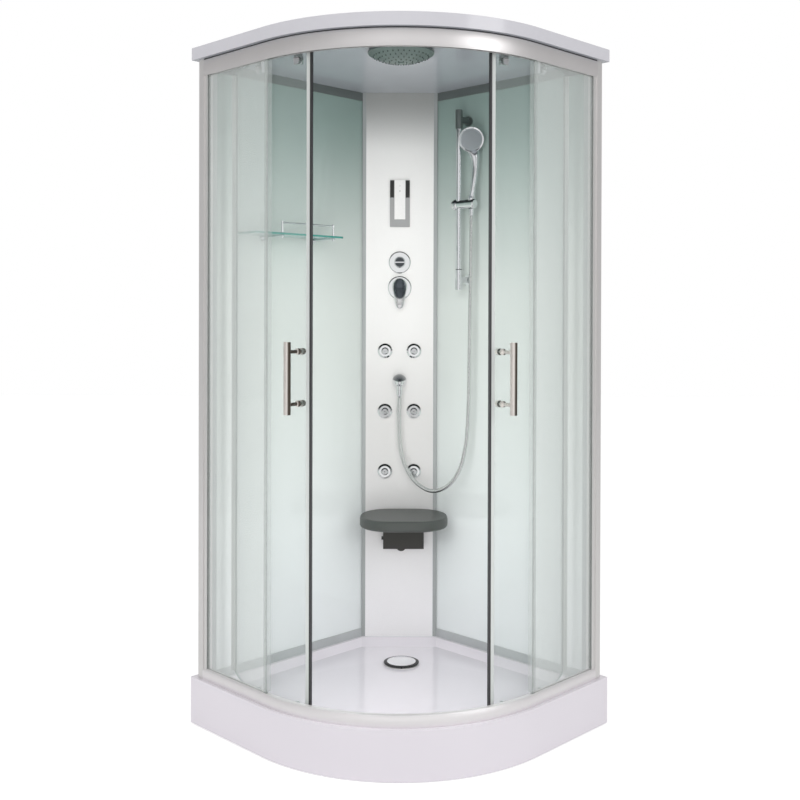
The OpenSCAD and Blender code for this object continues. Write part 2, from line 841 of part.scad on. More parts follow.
module left_handle() {
    ball_out = glass_out_r + handle_ball_r - 0.7;
    color(STEEL) as_open() door_at(handle_at) {
        // Bar, then stand-offs with a ball against the glass and a knob inside
        translate([0, -door_r - handle_out, handle_z]) {
            cylinder(r = bar_r, h = handle_len - 2, center = true);
            cylinder(r = bar_r - 1, h = handle_len, center = true);
        }
        for (z = [handle_za, handle_zb]) translate([0, 0, z]) {
            translate([0, -ball_out, 0]) out_rod(5, door_r + handle_out - ball_out);
            intersection() {
                translate([0, -ball_out, 0]) sphere(r = handle_ball_r);
                translate([0, -glass_out_r - seat_gap, 0]) out_rod(2 * handle_ball_r, 2 * handle_ball_r);
            }
            translate([0, -glass_in_r + 4, 0]) out_rod(handle_bolt_r, ball_out - glass_in_r);
            // Inner knob
            translate([0, -glass_in_r + 15, 0]) out_rod(7, 5);
            translate([0, -glass_in_r + 11, 0]) out_rod(handle_ball_r, 11 - seat_gap);
        }
    }
}

module right_handle() {
    mirror([1, 0, 0]) left_handle();
}

bolt_r = 4;
block_t = 7;
block_half = 14;
pin_end = track_r + wheel_t / 2 + 0.3;

module wheel_pin(z) {
    translate([0, -glass_in_r + 1, z]) out_rod(pin_r, pin_end - glass_in_r + 1);
    translate([0, -pin_end, z]) out_rod(pin_r + 1.5, 1);
}

module left_carriages() {
    color(CHROME) as_open() for (a = [lead_at, trail_at]) door_at(a) {
        // Upper carrier: block inside the glass, bolt with a cap outside, wheel pin
        translate([-block_half, -glass_in_r + seat_gap + 0.05, bolt_z - 12])
            cube([2 * block_half, block_t, up_wheel_z + 8 - bolt_z + 12]);
        translate([0, -glass_in_r + 1, bolt_z]) out_rod(bolt_r, glass_t + 2);
        translate([0, -glass_out_r - seat_gap, bolt_z]) out_rod(10, 2);
        wheel_pin(up_wheel_z);
        // Lower carrier: pin through the glass with an inner cap
        translate([0, -glass_in_r + 7, low_wheel_z]) out_rod(7, 7 - seat_gap);
        wheel_pin(low_wheel_z);
    }
}

module right_carriages() {
    mirror([1, 0, 0]) left_carriages();
}

module wheel(angle, z) {
    color(RUBBER) as_open() door_at(angle) translate([0, -track_r + wheel_t / 2, z]) rotate([90, 0, 0])
        difference() {
            cylinder(r = wheel_r, h = wheel_t);
            translate([0, 0, -1]) cylinder(r = pin_r + run_gap, h = wheel_t + 2);
        }
}

module left_upper_lead_wheel() { wheel(lead_at, up_wheel_z); }
module left_upper_trail_wheel() { wheel(trail_at, up_wheel_z); }
module left_lower_lead_wheel() { wheel(lead_at, low_wheel_z); }
module left_lower_trail_wheel() { wheel(trail_at, low_wheel_z); }
module right_upper_lead_wheel() { mirror([1, 0, 0]) wheel(lead_at, up_wheel_z); }
module right_upper_trail_wheel() { mirror([1, 0, 0]) wheel(trail_at, up_wheel_z); }
module right_lower_lead_wheel() { mirror([1, 0, 0]) wheel(lead_at, low_wheel_z); }
module right_lower_trail_wheel() { mirror([1, 0, 0]) wheel(trail_at, low_wheel_z); }

// Mixer, diverter and pipes

stem_r = 14;
divert_pin_r = 5;
inlet_r = 10.48;
face_y = fwd(column_d);
back_y = face_y + column_t;
valve_back = 52;
valve_w = 96;
valve_z0 = mixer_z - 40;
valve_z1 = diverter_z + 30;
inlet_x = 34;
inlet_len = 30;
inlet_bore = 15;
pipe_r = 7;
pipe_y = back_y + 17;

valve_end = back_y + seat_gap + valve_back;

module valve_body() {
    color(BRASS) difference() {
        union() {
            translate([-valve_w / 2, back_y + seat_gap, valve_z0]) cube([valve_w, valve_back, valve_z1 - valve_z0]);
            for (s = [-1, 1]) translate([s * inlet_x, valve_end + inlet_len, mixer_z])
                out_rod(inlet_r, inlet_len + 1);
        }
        // Sockets of the mixer stem and the diverter pin, and the inlet bores
        translate([0, back_y + 26, mixer_z]) out_rod(stem_r + run_gap, 60);
        translate([0, back_y + 26, diverter_z]) out_rod(divert_pin_r + run_gap, 60);
        for (s = [-1, 1]) translate([s * inlet_x, valve_end + inlet_len + 1, mixer_z])
            out_rod(inlet_r - 2.5, inlet_len + 1 + inlet_bore);
    }
}

module valve_plates() {
    color(CHROME) for (p = [[mixer_z, mixer_plate_r, stem_r], [diverter_z, diverter_plate_r, divert_pin_r]])
        translate([0, face_y, p[0]]) difference() {
            union() {
                out_rod(p[1], plate_t - 2);
                translate([0, 2 - plate_t, 0]) rotate([90, 0, 0]) cylinder(r1 = p[1], r2 = p[1] - 3, h = 2);
            }
            translate([0, 1, 0]) out_rod(p[2] + 1, plate_t + 2);
        }
}

lever_y = face_y - plate_t - 16;
lever_z = mixer_z + 6;
lever_t = 17;
lever_pin_r = 2;
neck_ball_r = 10;

module mixer_stem() {
    color(CHROME) {
        translate([0, back_y + 25.8, mixer_z]) out_rod(stem_r, back_y + 25.8 - face_y + plate_t + 3);
        translate([0, face_y - plate_t, mixer_z]) out_rod(neck_ball_r, face_y - plate_t - lever_y);
        translate([0, lever_y, mixer_z]) sphere(r = neck_ball_r);
        translate([-lever_r + 3.5, lever_y, lever_z]) side_rod(lever_pin_r, 2 * lever_r - 7);
    }
}

lever_dome = 8;
lever_edge = 6;

module mixer_lever() {
    tip_r = lever_r / 2;
    back = lever_y + lever_edge;
    dome_r = (pow(lever_r, 2) + pow(lever_dome, 2)) / (2 * lever_dome);
    color(CHROME) difference() {
        union() {
            // Head, tapered behind so that it can tip without meeting the plate
            translate([0, back, lever_z]) rotate([90, 0, 0])
                cylinder(r1 = lever_r - lever_edge, r2 = lever_r, h = lever_edge);
            translate([0, back - lever_edge, lever_z]) out_rod(lever_r, lever_t - lever_edge);
            hull($fn = 32) {
                translate([0, back - lever_edge, lever_z - 4]) out_rod(lever_r - 4, lever_t - lever_edge - 2);
                translate([0, back - lever_t + 8, lever_z - lever_len]) out_rod(tip_r, 8);
            }
            translate([0, back - lever_t, lever_z]) intersection() {
                translate([0, dome_r - lever_dome, 0]) sphere(r = dome_r, $fn = 96);
                out_rod(lever_r, lever_dome + 1);
            }
        }
        // Socket over the stem, and the bore of its cross pin
        translate([0, back + 1, mixer_z]) rotate([90, 0, 0])
            cylinder(r1 = neck_ball_r + 6, r2 = neck_ball_r + 3, h = neck_ball_r + 8.5);
        translate([-lever_r - 1, lever_y, lever_z]) side_rod(lever_pin_r + run_gap, 2 * lever_r + 2);
    }
}

module diverter_knob() {
    color(CHROME) translate([0, face_y - plate_t - seat_gap, diverter_z]) difference() {
        union() {
            out_rod(knob_r, 14);
            translate([0, -14, 0]) rotate([90, 0, 0]) cylinder(r1 = knob_r, r2 = knob_r - 3, h = 3);
            translate([0, back_y + 25.8 - face_y + plate_t, 0]) out_rod(divert_pin_r, back_y + 26 - face_y + plate_t);
        }
        // Finger groove across the knob
        translate([-knob_r, -24, -3]) cube([2 * knob_r, 10, 6]);
    }
}

jet_d = column_d + 1.6;
ring_out = 10;

module jet_place(j) {
    translate([(j % 2 == 0 ? -1 : 1) * jet_x, 0, jet_low + floor(j / 2) * jet_pitch]) children();
}

module jet_rings() {
    socket_r = jet_ball_r + 0.15;
    rise = jet_d - column_d;
    color(CHROME) for (j = [0:5]) jet_place(j) translate([0, face_y, 0]) rotate([90, 0, 0]) rotate_extrude()
        polygon(concat(
            [[jet_ring_r, 0], [jet_ring_r, 4], [jet_ring_r - 6, ring_out]],
            [for (h = [ring_out:-2:0]) [sqrt(pow(socket_r, 2) - pow(h - rise, 2)), h]]));
}

module jet_nozzle(j) {
    flat_at = acos(0.8);
    color(STEEL) jet_place(j) translate([0, fwd(jet_d), 0]) difference() {
        // Ball with a flat front
        rotate([90, 0, 0]) rotate_extrude() polygon(concat(
            [for (a = [0:10]) jet_ball_r * [sin(180 - (180 - flat_at) * a / 10), cos(180 - (180 - flat_at) * a / 10)]],
            [[0, jet_ball_r * cos(flat_at)]]));
        // Jet hole and three small holes round it
        out_rod(2.5, jet_ball_r);
        for (a = [90:120:330]) rotate([0, a, 0]) translate([6, -jet_ball_r + 6, 0]) out_rod(1.2, 8);
    }
}

module jet_nozzle_1() { jet_nozzle(0); }
module jet_nozzle_2() { jet_nozzle(1); }
module jet_nozzle_3() { jet_nozzle(2); }
module jet_nozzle_4() { jet_nozzle(3); }
module jet_nozzle_5() { jet_nozzle(4); }
module jet_nozzle_6() { jet_nozzle(5); }

jet_back = fwd(jet_d) + jet_ball_r + 0.3;

module water_pipes() {
    color(BRASS) {
        for (s = [-1, 1]) {
            // Jet manifold beside the valve, tied into it near its foot
            translate([s * jet_x, pipe_y, jet_low]) cylinder(r = pipe_r, h = valve_z0 - jet_low - 60);
            for (j = [0:2]) translate([s * jet_x, pipe_y, jet_low + j * jet_pitch])
                out_rod(pipe_r - 1, pipe_y - jet_back);
        }
        translate([-jet_x, pipe_y, valve_z0 - 60 - pipe_r]) side_rod(pipe_r, 2 * jet_x);
        translate([0, pipe_y, valve_z0 - 60 - pipe_r]) cylinder(r = pipe_r, h = 60 + pipe_r);
        // Supply of the hose outlet
        translate([0, pipe_y, elbow_z]) cylinder(r = pipe_r, h = valve_z0 - 60 - elbow_z);
        translate([0, pipe_y, elbow_z]) out_rod(pipe_r, pipe_y - back_y - 9);
        // Supply of the head shower
        translate([0, fwd(riser_pipe_d), valve_z1]) cylinder(r = feed_r, h = pipe_join_z - valve_z1);
    }
}

elbow_d = column_d + elbow_out;
nut_h = 19;
nut_z0 = elbow_z - 47;
elbow_neck_r = 10;
elbow_nut_r = 10.5;
elbow_bore_r = 5;

module hose_elbow() {
    color(CHROME) difference() {
        union() {
            // Domed cover over the bend of the outlet
            translate([0, face_y, elbow_z]) rotate([90, 0, 0]) rotate_extrude() polygon(concat([[0, 0]],
                [for (a = [0:9:90]) [elbow_r * cos(a), elbow_len * sin(a)]]));
            translate([0, fwd(elbow_d), nut_z0 + nut_h + 0.1]) cylinder(r = elbow_neck_r, h = 24);
            translate([0, face_y + column_t + 9, elbow_z]) out_rod(inlet_r, column_t + 10);
        }
        translate([0, face_y + 30, elbow_z]) out_rod(elbow_bore_r, elbow_out + 30);
        translate([0, fwd(elbow_d), nut_z0]) cylinder(r = elbow_bore_r, h = elbow_z - nut_z0);
    }
    // Nut on the hose
    color(CHROME) translate([0, fwd(elbow_d), nut_z0]) difference() {
        union() {
            cylinder(r1 = hose_r + 1, r2 = elbow_nut_r, h = 6);
            translate([0, 0, 6]) cylinder(r = elbow_nut_r, h = nut_h - 6);
        }
        translate([0, 0, -1]) cylinder(r = elbow_bore_r, h = nut_h + 2);
    }
}

// Soap dispenser

soap_neck_r = 12;
soap_lever_z0 = soap_z + 26;

module soap_tank() {
    color(CHROME) difference() {
        union() {
            translate([-soap_w / 2, face_y - soap_out, soap_z]) cube([soap_w, soap_out, soap_h]);
            // Neck through the column and the hidden bottle
            translate([0, back_y + 6, soap_z + soap_h / 2]) out_rod(soap_neck_r, column_t + 7);
            translate([-45, back_y + 6, soap_z]) cube([90, 24, soap_h]);
        }
        // Recess of the push lever, open at the top
        translate([-soap_lever_w / 2 - pass_gap, face_y - soap_out - 1, soap_lever_z0 - pass_gap])
            cube([soap_lever_w + 2 * pass_gap, soap_out - 1, soap_h]);
        translate([0, back_y + 20, soap_z + soap_h / 2]) out_rod(4, 40);
    }
}

module soap_lever() {
    lever_h = soap_z + soap_h - soap_lever_z0;
    color(SILVER) translate([-soap_lever_w / 2, face_y - soap_out + 1, soap_lever_z0]) difference() {
        cube([soap_lever_w, 2.5, lever_h]);
        for (h = [0.72, 0.86]) translate([soap_lever_w / 2, 1, lever_h * h]) out_rod(1.5, 3);
    }
}

// Seat

pivot_d = column_d + 33.6;
pivot_z = seat_z - seat_t / 2 + 0.5;
bracket_top = seat_z - seat_t - 3.5;
ear_x0 = 52;
ear_t = 8;
ear_r = 11;
bracket_out = 58;
seat_tail = 14;

module seat_bracket() {
    color(SEAT_GREY) translate([seat_x, 0, 0]) difference() {
        union() {
            translate([-bracket_half, fwd(column_d + bracket_out), bracket_top - bracket_h])
                cube([2 * bracket_half, bracket_out, bracket_h]);
            // Pad that the seat rests on, and the two ears of the pin
            translate([-bracket_half + 4, fwd(column_d + bracket_out), bracket_top - 1])
                cube([2 * bracket_half - 8, 8, 4.2]);
            for (s = [-1, 1]) translate([s * (ear_x0 + ear_t / 2) - ear_t / 2, 0, 0]) {
                translate([0, fwd(pivot_d), pivot_z]) side_rod(ear_r, ear_t);
                translate([0, fwd(pivot_d + ear_r), bracket_top - 1])
                    cube([ear_t, 2 * ear_r, pivot_z - bracket_top + 1]);
            }
            // Rounded foot and the fixing knob at the side
            translate([-8, fwd(column_d + bracket_out - 3), bracket_top - bracket_h + 9]) rotate([-90, 0, 0])
                cylinder(r = 17, h = 20);
            translate([-bracket_half - 6, fwd(column_d + 30), bracket_top - bracket_h + 32]) side_rod(6, 8);
        }
        translate([-bracket_half, fwd(pivot_d), pivot_z]) side_rod(seat_pin_r + run_gap, 2 * bracket_half);
    }
}

module seat_pin() {
    color(STEEL) translate([seat_x - ear_x0 - ear_t - 2, fwd(pivot_d), pivot_z])
        side_rod(seat_pin_r, 2 * (ear_x0 + ear_t + 2));
}

// Round-cornered seat outline, seen from above
function seat_outline(grow) = [for (i = [0:47]) let (
    a = 360 * i / 48,
    c = cos(a),
    s = sin(a)
) [
    (seat_w / 2 + grow) * sign(c) * pow(abs(c), 0.82),
    ((seat_reach + seat_tail) / 2 + grow) * sign(s) * pow(abs(s), 0.82)
]];

module seat_layer(grow, z0, z1) {
    translate([0, fwd(pivot_d + (seat_reach - seat_tail) / 2), z0]) linear_extrude(z1 - z0)
        polygon(seat_outline(grow));
}

SEAT_EDGE = [[0, 9], [0.5, 6], [1.8, 3.6], [3.6, 1.8], [6, 0.6], [8, 0]];

module seat() {
    low = seat_z - seat_t;
    color(SEAT_GREY) translate([seat_x, 0, 0]) difference() {
        union() {
            // Edges rounded in small steps above and below
            for (e = SEAT_EDGE) seat_layer(-e[0], low + e[1], seat_z - e[1]);
            // Rear tab round the pin
            translate([-bracket_half, fwd(pivot_d + 40), pivot_z - 9]) cube([2 * bracket_half, 50, seat_z - pivot_z + 6]);
        }
        // Slots for the ears, open below and behind
        for (s = [-1, 1]) translate([s * (ear_x0 + ear_t / 2) - ear_t / 2 - 1, fwd(pivot_d + ear_r + 1.2), low - 1])
            cube([ear_t + 2, ear_r + 40, pivot_z + ear_r + 1.2 - low + 1]);
        translate([-bracket_half - 1, fwd(pivot_d), pivot_z]) side_rod(seat_pin_r + run_gap, 2 * bracket_half + 2);
        // Rear underside clears the bracket
        translate([-bracket_half - 2, fwd(pivot_d + 1), low - 1])
            cube([2 * bracket_half + 4, 40, pivot_z - 10.4 - low + 1]);
    }
}

// Shelf on the left wall

shelf_back = wall_face + 4;
post_s = [438, 650];
shelf_post_w = shelf_w - 12;
rod_r = 4;
shelf_round = 18;

module shelf_glass() {
    color(CLEAR) plan() difference() {
        translate([0, 0, shelf_z]) linear_extrude(shelf_t) {
            translate([shelf_s0, shelf_back]) square([shelf_s1 - shelf_s0, shelf_w - shelf_back - shelf_round]);
            translate([shelf_s0 + shelf_round, shelf_back])
                square([shelf_s1 - shelf_s0 - 2 * shelf_round, shelf_w - shelf_back]);
            for (s = [shelf_s0 + shelf_round, shelf_s1 - shelf_round])
                translate([s, shelf_w - shelf_round]) circle(r = shelf_round);
        }
        for (s = post_s) translate([s, shelf_post_w, shelf_z - 1]) cylinder(r = rod_r + seat_gap, h = shelf_t + 2);
    }
}

module shelf_rail() {
    arm_z = shelf_z - rod_r - seat_gap;
    color(CHROME) plan() {
        for (s = post_s) translate([s, 0, 0]) {
            // Wall flange, arm under the glass and post through it
            translate([0, wall_skin, arm_z]) rotate([-90, 0, 0]) cylinder(r = 12, h = 6);
            translate([0, wall_face, arm_z]) rotate([-90, 0, 0]) cylinder(r = rod_r, h = shelf_post_w - wall_face);
            translate([0, shelf_post_w, arm_z - 6])
                cylinder(r = rod_r, h = shelf_rail_h + shelf_t + 12);
            translate([0, shelf_post_w, arm_z]) sphere(r = 6);
        }
        translate([post_s[0], shelf_post_w, shelf_z + shelf_t + shelf_rail_h - 4]) side_rod(3, post_s[1] - post_s[0]);
    }
}

// Hand shower rail on the right wall: local x runs along the wall, -y into the cabin

riser_x = (riser_s - riser_w) / sqrt(2);
riser_y = fwd((riser_s + riser_w) / sqrt(2));
wall_off = riser_w - wall_skin;
clamp_r = 12;
riser_z1 = roof_z - riser_drop;
riser_z0 = riser_z1 - riser_len;
slider_z = roof_z - slider_drop;

module riser() {
    translate([riser_x, riser_y, 0]) rotate(-45) children();
}

module riser_rail() {
    color(CHROME) riser() {
        translate([0, 0, riser_z0]) cylinder(r = riser_r, h = riser_z1 - riser_z0);
        for (z = [riser_z0, riser_z1 - riser_clamp_h]) translate([0, 0, z]) {
            cylinder(r = clamp_r, h = riser_clamp_h);
            translate([-8, 0, riser_clamp_h / 2 - 10]) cube([16, wall_off, 20]);
            translate([0, wall_off, riser_clamp_h / 2]) rotate([90, 0, 0]) cylinder(r = 17, h = 5);
        }
    }
}

slider_body_r = 19;
barrel_r = 15;
cradle_r = 16;
cradle_h = 32;
cradle_neck = 3.7;

module slider() {
    color(CHROME) riser() difference() {
        union() {
            // Ball end that clamps on the rail, and the barrel towards the cradle
            translate([-11, 0, slider_z]) sphere(r = slider_body_r);
            translate([-6, 0, slider_z]) side_rod(barrel_r, cradle_out + 6 - cradle_r - cradle_neck - pass_gap);
            // Pin of the cradle
            translate([cradle_out - cradle_r - 6, 0, slider_z]) side_rod(4, 8);
        }
        translate([0, 0, slider_z - 40]) cylinder(r = riser_r + run_gap, h = 80);
    }
}

cone_top = 12;
cone_low = 9.5;

module cradle() {
    end_bevel = 3;
    color(CHROME) riser() translate([cradle_out, 0, slider_z]) difference() {
        // Far end of the barrel, which turns on the pin
        union() {
            translate([-cradle_r - cradle_neck, 0, 0])
                side_rod(cradle_h / 2, 2 * cradle_r + cradle_neck - end_bevel);
            translate([cradle_r - end_bevel, 0, 0]) rotate([0, 90, 0])
                cylinder(r1 = cradle_h / 2, r2 = cradle_h / 2 - end_bevel, h = end_bevel);
        }
        translate([0, 0, -cradle_h / 2 - 0.01])
            cylinder(r1 = cone_low + 0.15, r2 = cone_top + 0.15, h = cradle_h + 0.02);
        translate([-cradle_r - 10, 0, 0]) side_rod(4 + run_gap, 12.6);
    }
}

// Handset, upright in its cradle: route of the handle in real x, distance and height
grip_x = riser_x + cradle_out / sqrt(2);
grip_d = (riser_s + riser_w + cradle_out) / sqrt(2);
hose_nut_z = slider_z - cradle_h / 2 - 22;
HANDLE = [[0, 0, 18], [4, 3, 46], [9, 2, 80], [13, -3, 120], [12, -6, 150], [8, -6, 172]];
HANDLE_R = [11.5, 8.5, 9.5, 12, 14, 15];
head_up = 214;

module handset() {
    color(CHROME) translate([grip_x, fwd(grip_d), slider_z]) {
        difference() {
            union() {
                translate([0, 0, -cradle_h / 2]) cylinder(r1 = cone_low, r2 = cone_top, h = cradle_h);
                translate([0, 0, cradle_h / 2 + 0.15]) cylinder(r = cone_top + 1, h = 4);
                for (i = [0:4]) hull($fn = 24) {
                    translate([HANDLE[i][0], -HANDLE[i][1], HANDLE[i][2]]) sphere(r = HANDLE_R[i]);
                    translate([HANDLE[i + 1][0], -HANDLE[i + 1][1], HANDLE[i + 1][2]]) sphere(r = HANDLE_R[i + 1]);
                }
                translate([-1, 0, head_up]) rotate([6, 0, 0]) {
                    translate([0, 10, 0]) out_rod(head_r, 16);
                    translate([0, 18, 0]) rotate([90, 0, 0]) cylinder(r1 = head_r - 14, r2 = head_r, h = 8);
                }
            }
            translate([0, 0, -cradle_h]) cylinder(r = 5, h = cradle_h + 20);
        }
        // Hose nut under the cone
        translate([0, 0, hose_nut_z - slider_z]) difference() {
            cylinder(r = 8.6, h = 21.9);
            translate([0, 0, -1]) cylinder(r = 5, h = 30);
        }
    }
}

// Hose: straight out of the outlet nut, a hanging bow, and up to the handset nut.
// Points are x, distance from the back corner, and height; above the bow they follow
// the height of the handset.
bow_top = 800;
rise_share = (hose_nut_z - bow_top) / 778;
function up(z) = bow_top + (z - bow_top) * rise_share;
HOSE = [
    [0, elbow_d, nut_z0 - 0.1], [0, elbow_d, nut_z0 - 15], [-1, elbow_d + 1, 900], [0, 220, 845],
    [3, 222, 795], [12, 225, 750], [33, 233, 700], [66, 247, 664], [107, 267, 646],
    [149, 293, 658], [181, 317, 690], [205, 335, 738], [219, 344, bow_top], [226, 346, up(860)],
    [230, 346, up(960)], [232, 346, up(1080)], [233, 345, up(1200)], [235, 345, up(1340)], [237, 344, up(1480)],
    [grip_x, grip_d, hose_nut_z - 15], [grip_x, grip_d, hose_nut_z - 0.1]
];

// Smooth curve through the points
function curve(p, i, t) = let (
    a = p[max(0, i - 1)], b = p[i], c = p[i + 1], d = p[min(len(p) - 1, i + 2)]
) 0.5 * (2 * b + (c - a) * t + (2 * a - 5 * b + 4 * c - d) * t * t + (3 * b - a - 3 * c + d) * t * t * t);

hose_steps = 12;
hose_line = [
    for (i = [0:len(HOSE) - 2], k = [0:hose_steps - 1]) curve(HOSE, i, k / hose_steps),
    HOSE[len(HOSE) - 1]
];
hose_world = [for (q = hose_line) [q[0], fwd(q[1]), q[2]]];
function run_sum(p, i = 0, s = 0, out = []) = i >= len(p) ? out
    : run_sum(p, i + 1, s + (i + 1 < len(p) ? norm(p[i + 1] - p[i]) : 0), concat(out, [s]));
hose_run = run_sum(hose_world);
hose_len = hose_run[len(hose_run) - 1];
function find_run(s, lo, hi) = hi - lo <= 1 ? lo
    : let (m = floor((lo + hi) / 2)) hose_run[m] > s ? find_run(s, lo, m) : find_run(s, m, hi);
function on_hose(s) = let (
    i = find_run(s, 0, len(hose_run) - 1),
    t = (s - hose_run[i]) / (hose_run[i + 1] - hose_run[i])
) hose_world[i] + t * (hose_world[i + 1] - hose_world[i]);
function unit(v) = v / norm(v);
function hose_dir(s) = unit(on_hose(min(hose_len, s + 1)) - on_hose(max(0, s - 1)));

// Eight points round the hose; the side axis leans towards the back of the cabin
function hose_ring(s, r, dir) = let (
    c = on_hose(s),
    side_axis = unit(cross(dir, [0.35, 1, 0])),
    up_axis = cross(side_axis, dir)
) [for (k = [0:7]) c + r * (cos(45 * k) * side_axis + sin(45 * k) * up_axis)];

straight_end = 2 * hose_r;
rib_pitch = (hose_len - 2 * straight_end) / hose_ribs;
bore_r = hose_r - 2;
outer_rings = concat(
    [hose_ring(0, hose_r, [0, 0, -1]), hose_ring(straight_end, hose_r, [0, 0, -1])],
    [for (i = [0:hose_ribs - 1], k = [0, 1]) let (s = straight_end + (i + 0.25 + 0.5 * k) * rib_pitch)
        hose_ring(s, k == 0 ? hose_r - rib_depth : hose_r, hose_dir(s))],
    [hose_ring(hose_len - straight_end, hose_r, [0, 0, 1]), hose_ring(hose_len, hose_r, [0, 0, 1])]
);
bore_count = 60;
bore_rings = concat(
    [hose_ring(0, bore_r, [0, 0, -1])],
    [for (i = [1:bore_count - 1]) let (s = hose_len * i / bore_count) hose_ring(s, bore_r, hose_dir(s))],
    [hose_ring(hose_len, bore_r, [0, 0, 1])]
);

module shower_hose() {
    no = len(outer_rings);
    nb = len(bore_rings);
    first_bore = 8 * no;
    points = [for (r = outer_rings, p = r) p, for (r = bore_rings, p = r) p];
    skin = [for (i = [0:no - 2], k = [0:7]) let (
        a = 8 * i + k, b = 8 * i + (k + 1) % 8
    ) each [[a, b, a + 8], [b, b + 8, a + 8]]];
    bore = [for (i = [0:nb - 2], k = [0:7]) let (
        a = first_bore + 8 * i + k, b = first_bore + 8 * i + (k + 1) % 8
    ) each [[a, a + 8, b], [b, a + 8, b + 8]]];
    start_face = [for (k = [0:7]) let (a = k, b = (k + 1) % 8)
        each [[a, first_bore + a, b], [b, first_bore + a, first_bore + b]]];
    last = 8 * (no - 1);
    last_bore = first_bore + 8 * (nb - 1);
    end_face = [for (k = [0:7]) let (a = last + k, b = last + (k + 1) % 8,
        c = last_bore + k, d = last_bore + (k + 1) % 8) each [[a, b, c], [b, d, c]]];
    color(SILVER) polyhedron(points = points, faces = concat(skin, bore, start_face, end_face));
}

echo(pole = pole, door_open = door_open, hose_length = hose_len);

tray();
tray_frame();
levelling_feet();
drain_body();
drain_cap();
wall_frames();
wall_glass();
column_panel();
column_trims();
roof();
rose();
rose_feed();
top_rail();
bottom_rail();
posts();
fixed_glass();
glass_seals();
door_stops();
valve_body();
water_pipes();
valve_plates();
mixer_stem();
mixer_lever();
diverter_knob();
jet_rings();
jet_nozzle_1();
jet_nozzle_2();
jet_nozzle_3();
jet_nozzle_4();
jet_nozzle_5();
jet_nozzle_6();
hose_elbow();
shower_hose();
soap_tank();
soap_lever();
seat_bracket();
seat_pin();
seat();
shelf_glass();
shelf_rail();
riser_rail();
slider();
cradle();
handset();
left_door_glass();
left_door_seals();
left_handle();
left_carriages();
right_door_glass();
right_door_seals();
right_handle();
right_carriages();
left_upper_lead_wheel();
left_upper_trail_wheel();
left_lower_lead_wheel();
left_lower_trail_wheel();
right_upper_lead_wheel();
right_upper_trail_wheel();
right_lower_lead_wheel();
right_lower_trail_wheel();
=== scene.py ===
# Shower cabin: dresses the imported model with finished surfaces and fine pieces.
import math

import bmesh
import bpy
from mathutils import Euler, Matrix, Vector


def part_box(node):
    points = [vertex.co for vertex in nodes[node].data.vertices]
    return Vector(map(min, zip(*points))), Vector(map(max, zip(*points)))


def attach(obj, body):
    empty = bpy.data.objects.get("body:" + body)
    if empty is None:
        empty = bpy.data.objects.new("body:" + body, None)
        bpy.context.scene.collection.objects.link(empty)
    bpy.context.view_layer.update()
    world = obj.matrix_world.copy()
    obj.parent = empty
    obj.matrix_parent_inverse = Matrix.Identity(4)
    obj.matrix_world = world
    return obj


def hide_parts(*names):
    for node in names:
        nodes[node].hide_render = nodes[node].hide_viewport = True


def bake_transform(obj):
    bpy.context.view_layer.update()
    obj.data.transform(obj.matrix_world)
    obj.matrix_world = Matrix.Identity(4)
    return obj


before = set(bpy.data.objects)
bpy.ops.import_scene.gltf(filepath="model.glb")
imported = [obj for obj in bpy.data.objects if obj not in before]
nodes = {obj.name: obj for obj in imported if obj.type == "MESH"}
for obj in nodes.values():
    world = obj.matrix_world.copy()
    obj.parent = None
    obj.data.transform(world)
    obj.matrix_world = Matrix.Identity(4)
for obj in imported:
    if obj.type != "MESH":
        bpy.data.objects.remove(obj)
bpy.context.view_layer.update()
scene = bpy.context.scene

# Plan sizes of the cabin, in metres
SIDE = 0.900
BEND = 0.550
FLAT = SIDE - BEND
DEPTH = FLAT * math.sqrt(2) + BEND
TILT = math.sqrt(0.5)
COLUMN_FACE_D = 0.1704
UP = (0, 0, 1)
# Heights: roof edge, top rail edge, wall frame tops and upper riser sleeve, which bound painted shade;
# the lower riser sleeve; and the waste cap's rim, below which the cap gets a painted shadow
ROOF_EDGE_Z = 2.0206
TOP_RAIL_Z = 2.0162
FRAME_TOP_Z = 1.986
SLEEVE_LOW = 1.399
SLEEVE_HIGH = 1.871
CAP_SHADOW_Z = 0.103


def forward(distance):
    """Y of a place that far in front of the back corner."""
    return DEPTH / 2 - distance


FACE_Y = forward(COLUMN_FACE_D)


# Camera, fitted to the photograph

LENS_MM = 47.02
SENSOR_MM = 36
VIEW_SHIFT = -0.1062
EYE = (-0.0129, -3.3017, 1.2634)
PITCH = math.radians(89.702)
YAW = math.radians(-0.224)
ROLL = math.radians(0.149)


def place_camera():
    data = bpy.data.cameras.new("view")
    camera = bpy.data.objects.new("view", data)
    scene.collection.objects.link(camera)
    data.sensor_fit = "HORIZONTAL"
    data.sensor_width = SENSOR_MM
    data.lens = LENS_MM
    data.shift_y = VIEW_SHIFT
    data.clip_end = 60
    turn = Euler((PITCH, 0, YAW)).to_matrix() @ Matrix.Rotation(ROLL, 3, "Z")
    camera.matrix_world = Matrix.Translation(EYE) @ turn.to_4x4()
    scene.camera = camera


place_camera()


# Selecting and shaping by operator

def clear_selection():
    bpy.ops.object.select_all(action="DESELECT")


def pick(piece):
    clear_selection()
    piece.select_set(True)
    bpy.context.view_layer.objects.active = piece


def settle(piece, name):
    """Puts the place of a piece into its mesh and names it."""
    pick(piece)
    bpy.ops.object.transform_apply(location=True, rotation=True, scale=True)
    piece.name = name
    piece.data.name = name
    return piece


def angles_to(axis):
    return Vector(UP).rotation_difference(Vector(axis)).to_euler()


def open_edit(piece, part):
    pick(piece)
    bpy.ops.object.mode_set(mode="EDIT")
    bpy.ops.mesh.select_mode(type=part)
    bpy.ops.mesh.select_all(action="DESELECT")
    bpy.ops.object.mode_set(mode="OBJECT")


def close_edit():
    bpy.ops.object.mode_set(mode="OBJECT")


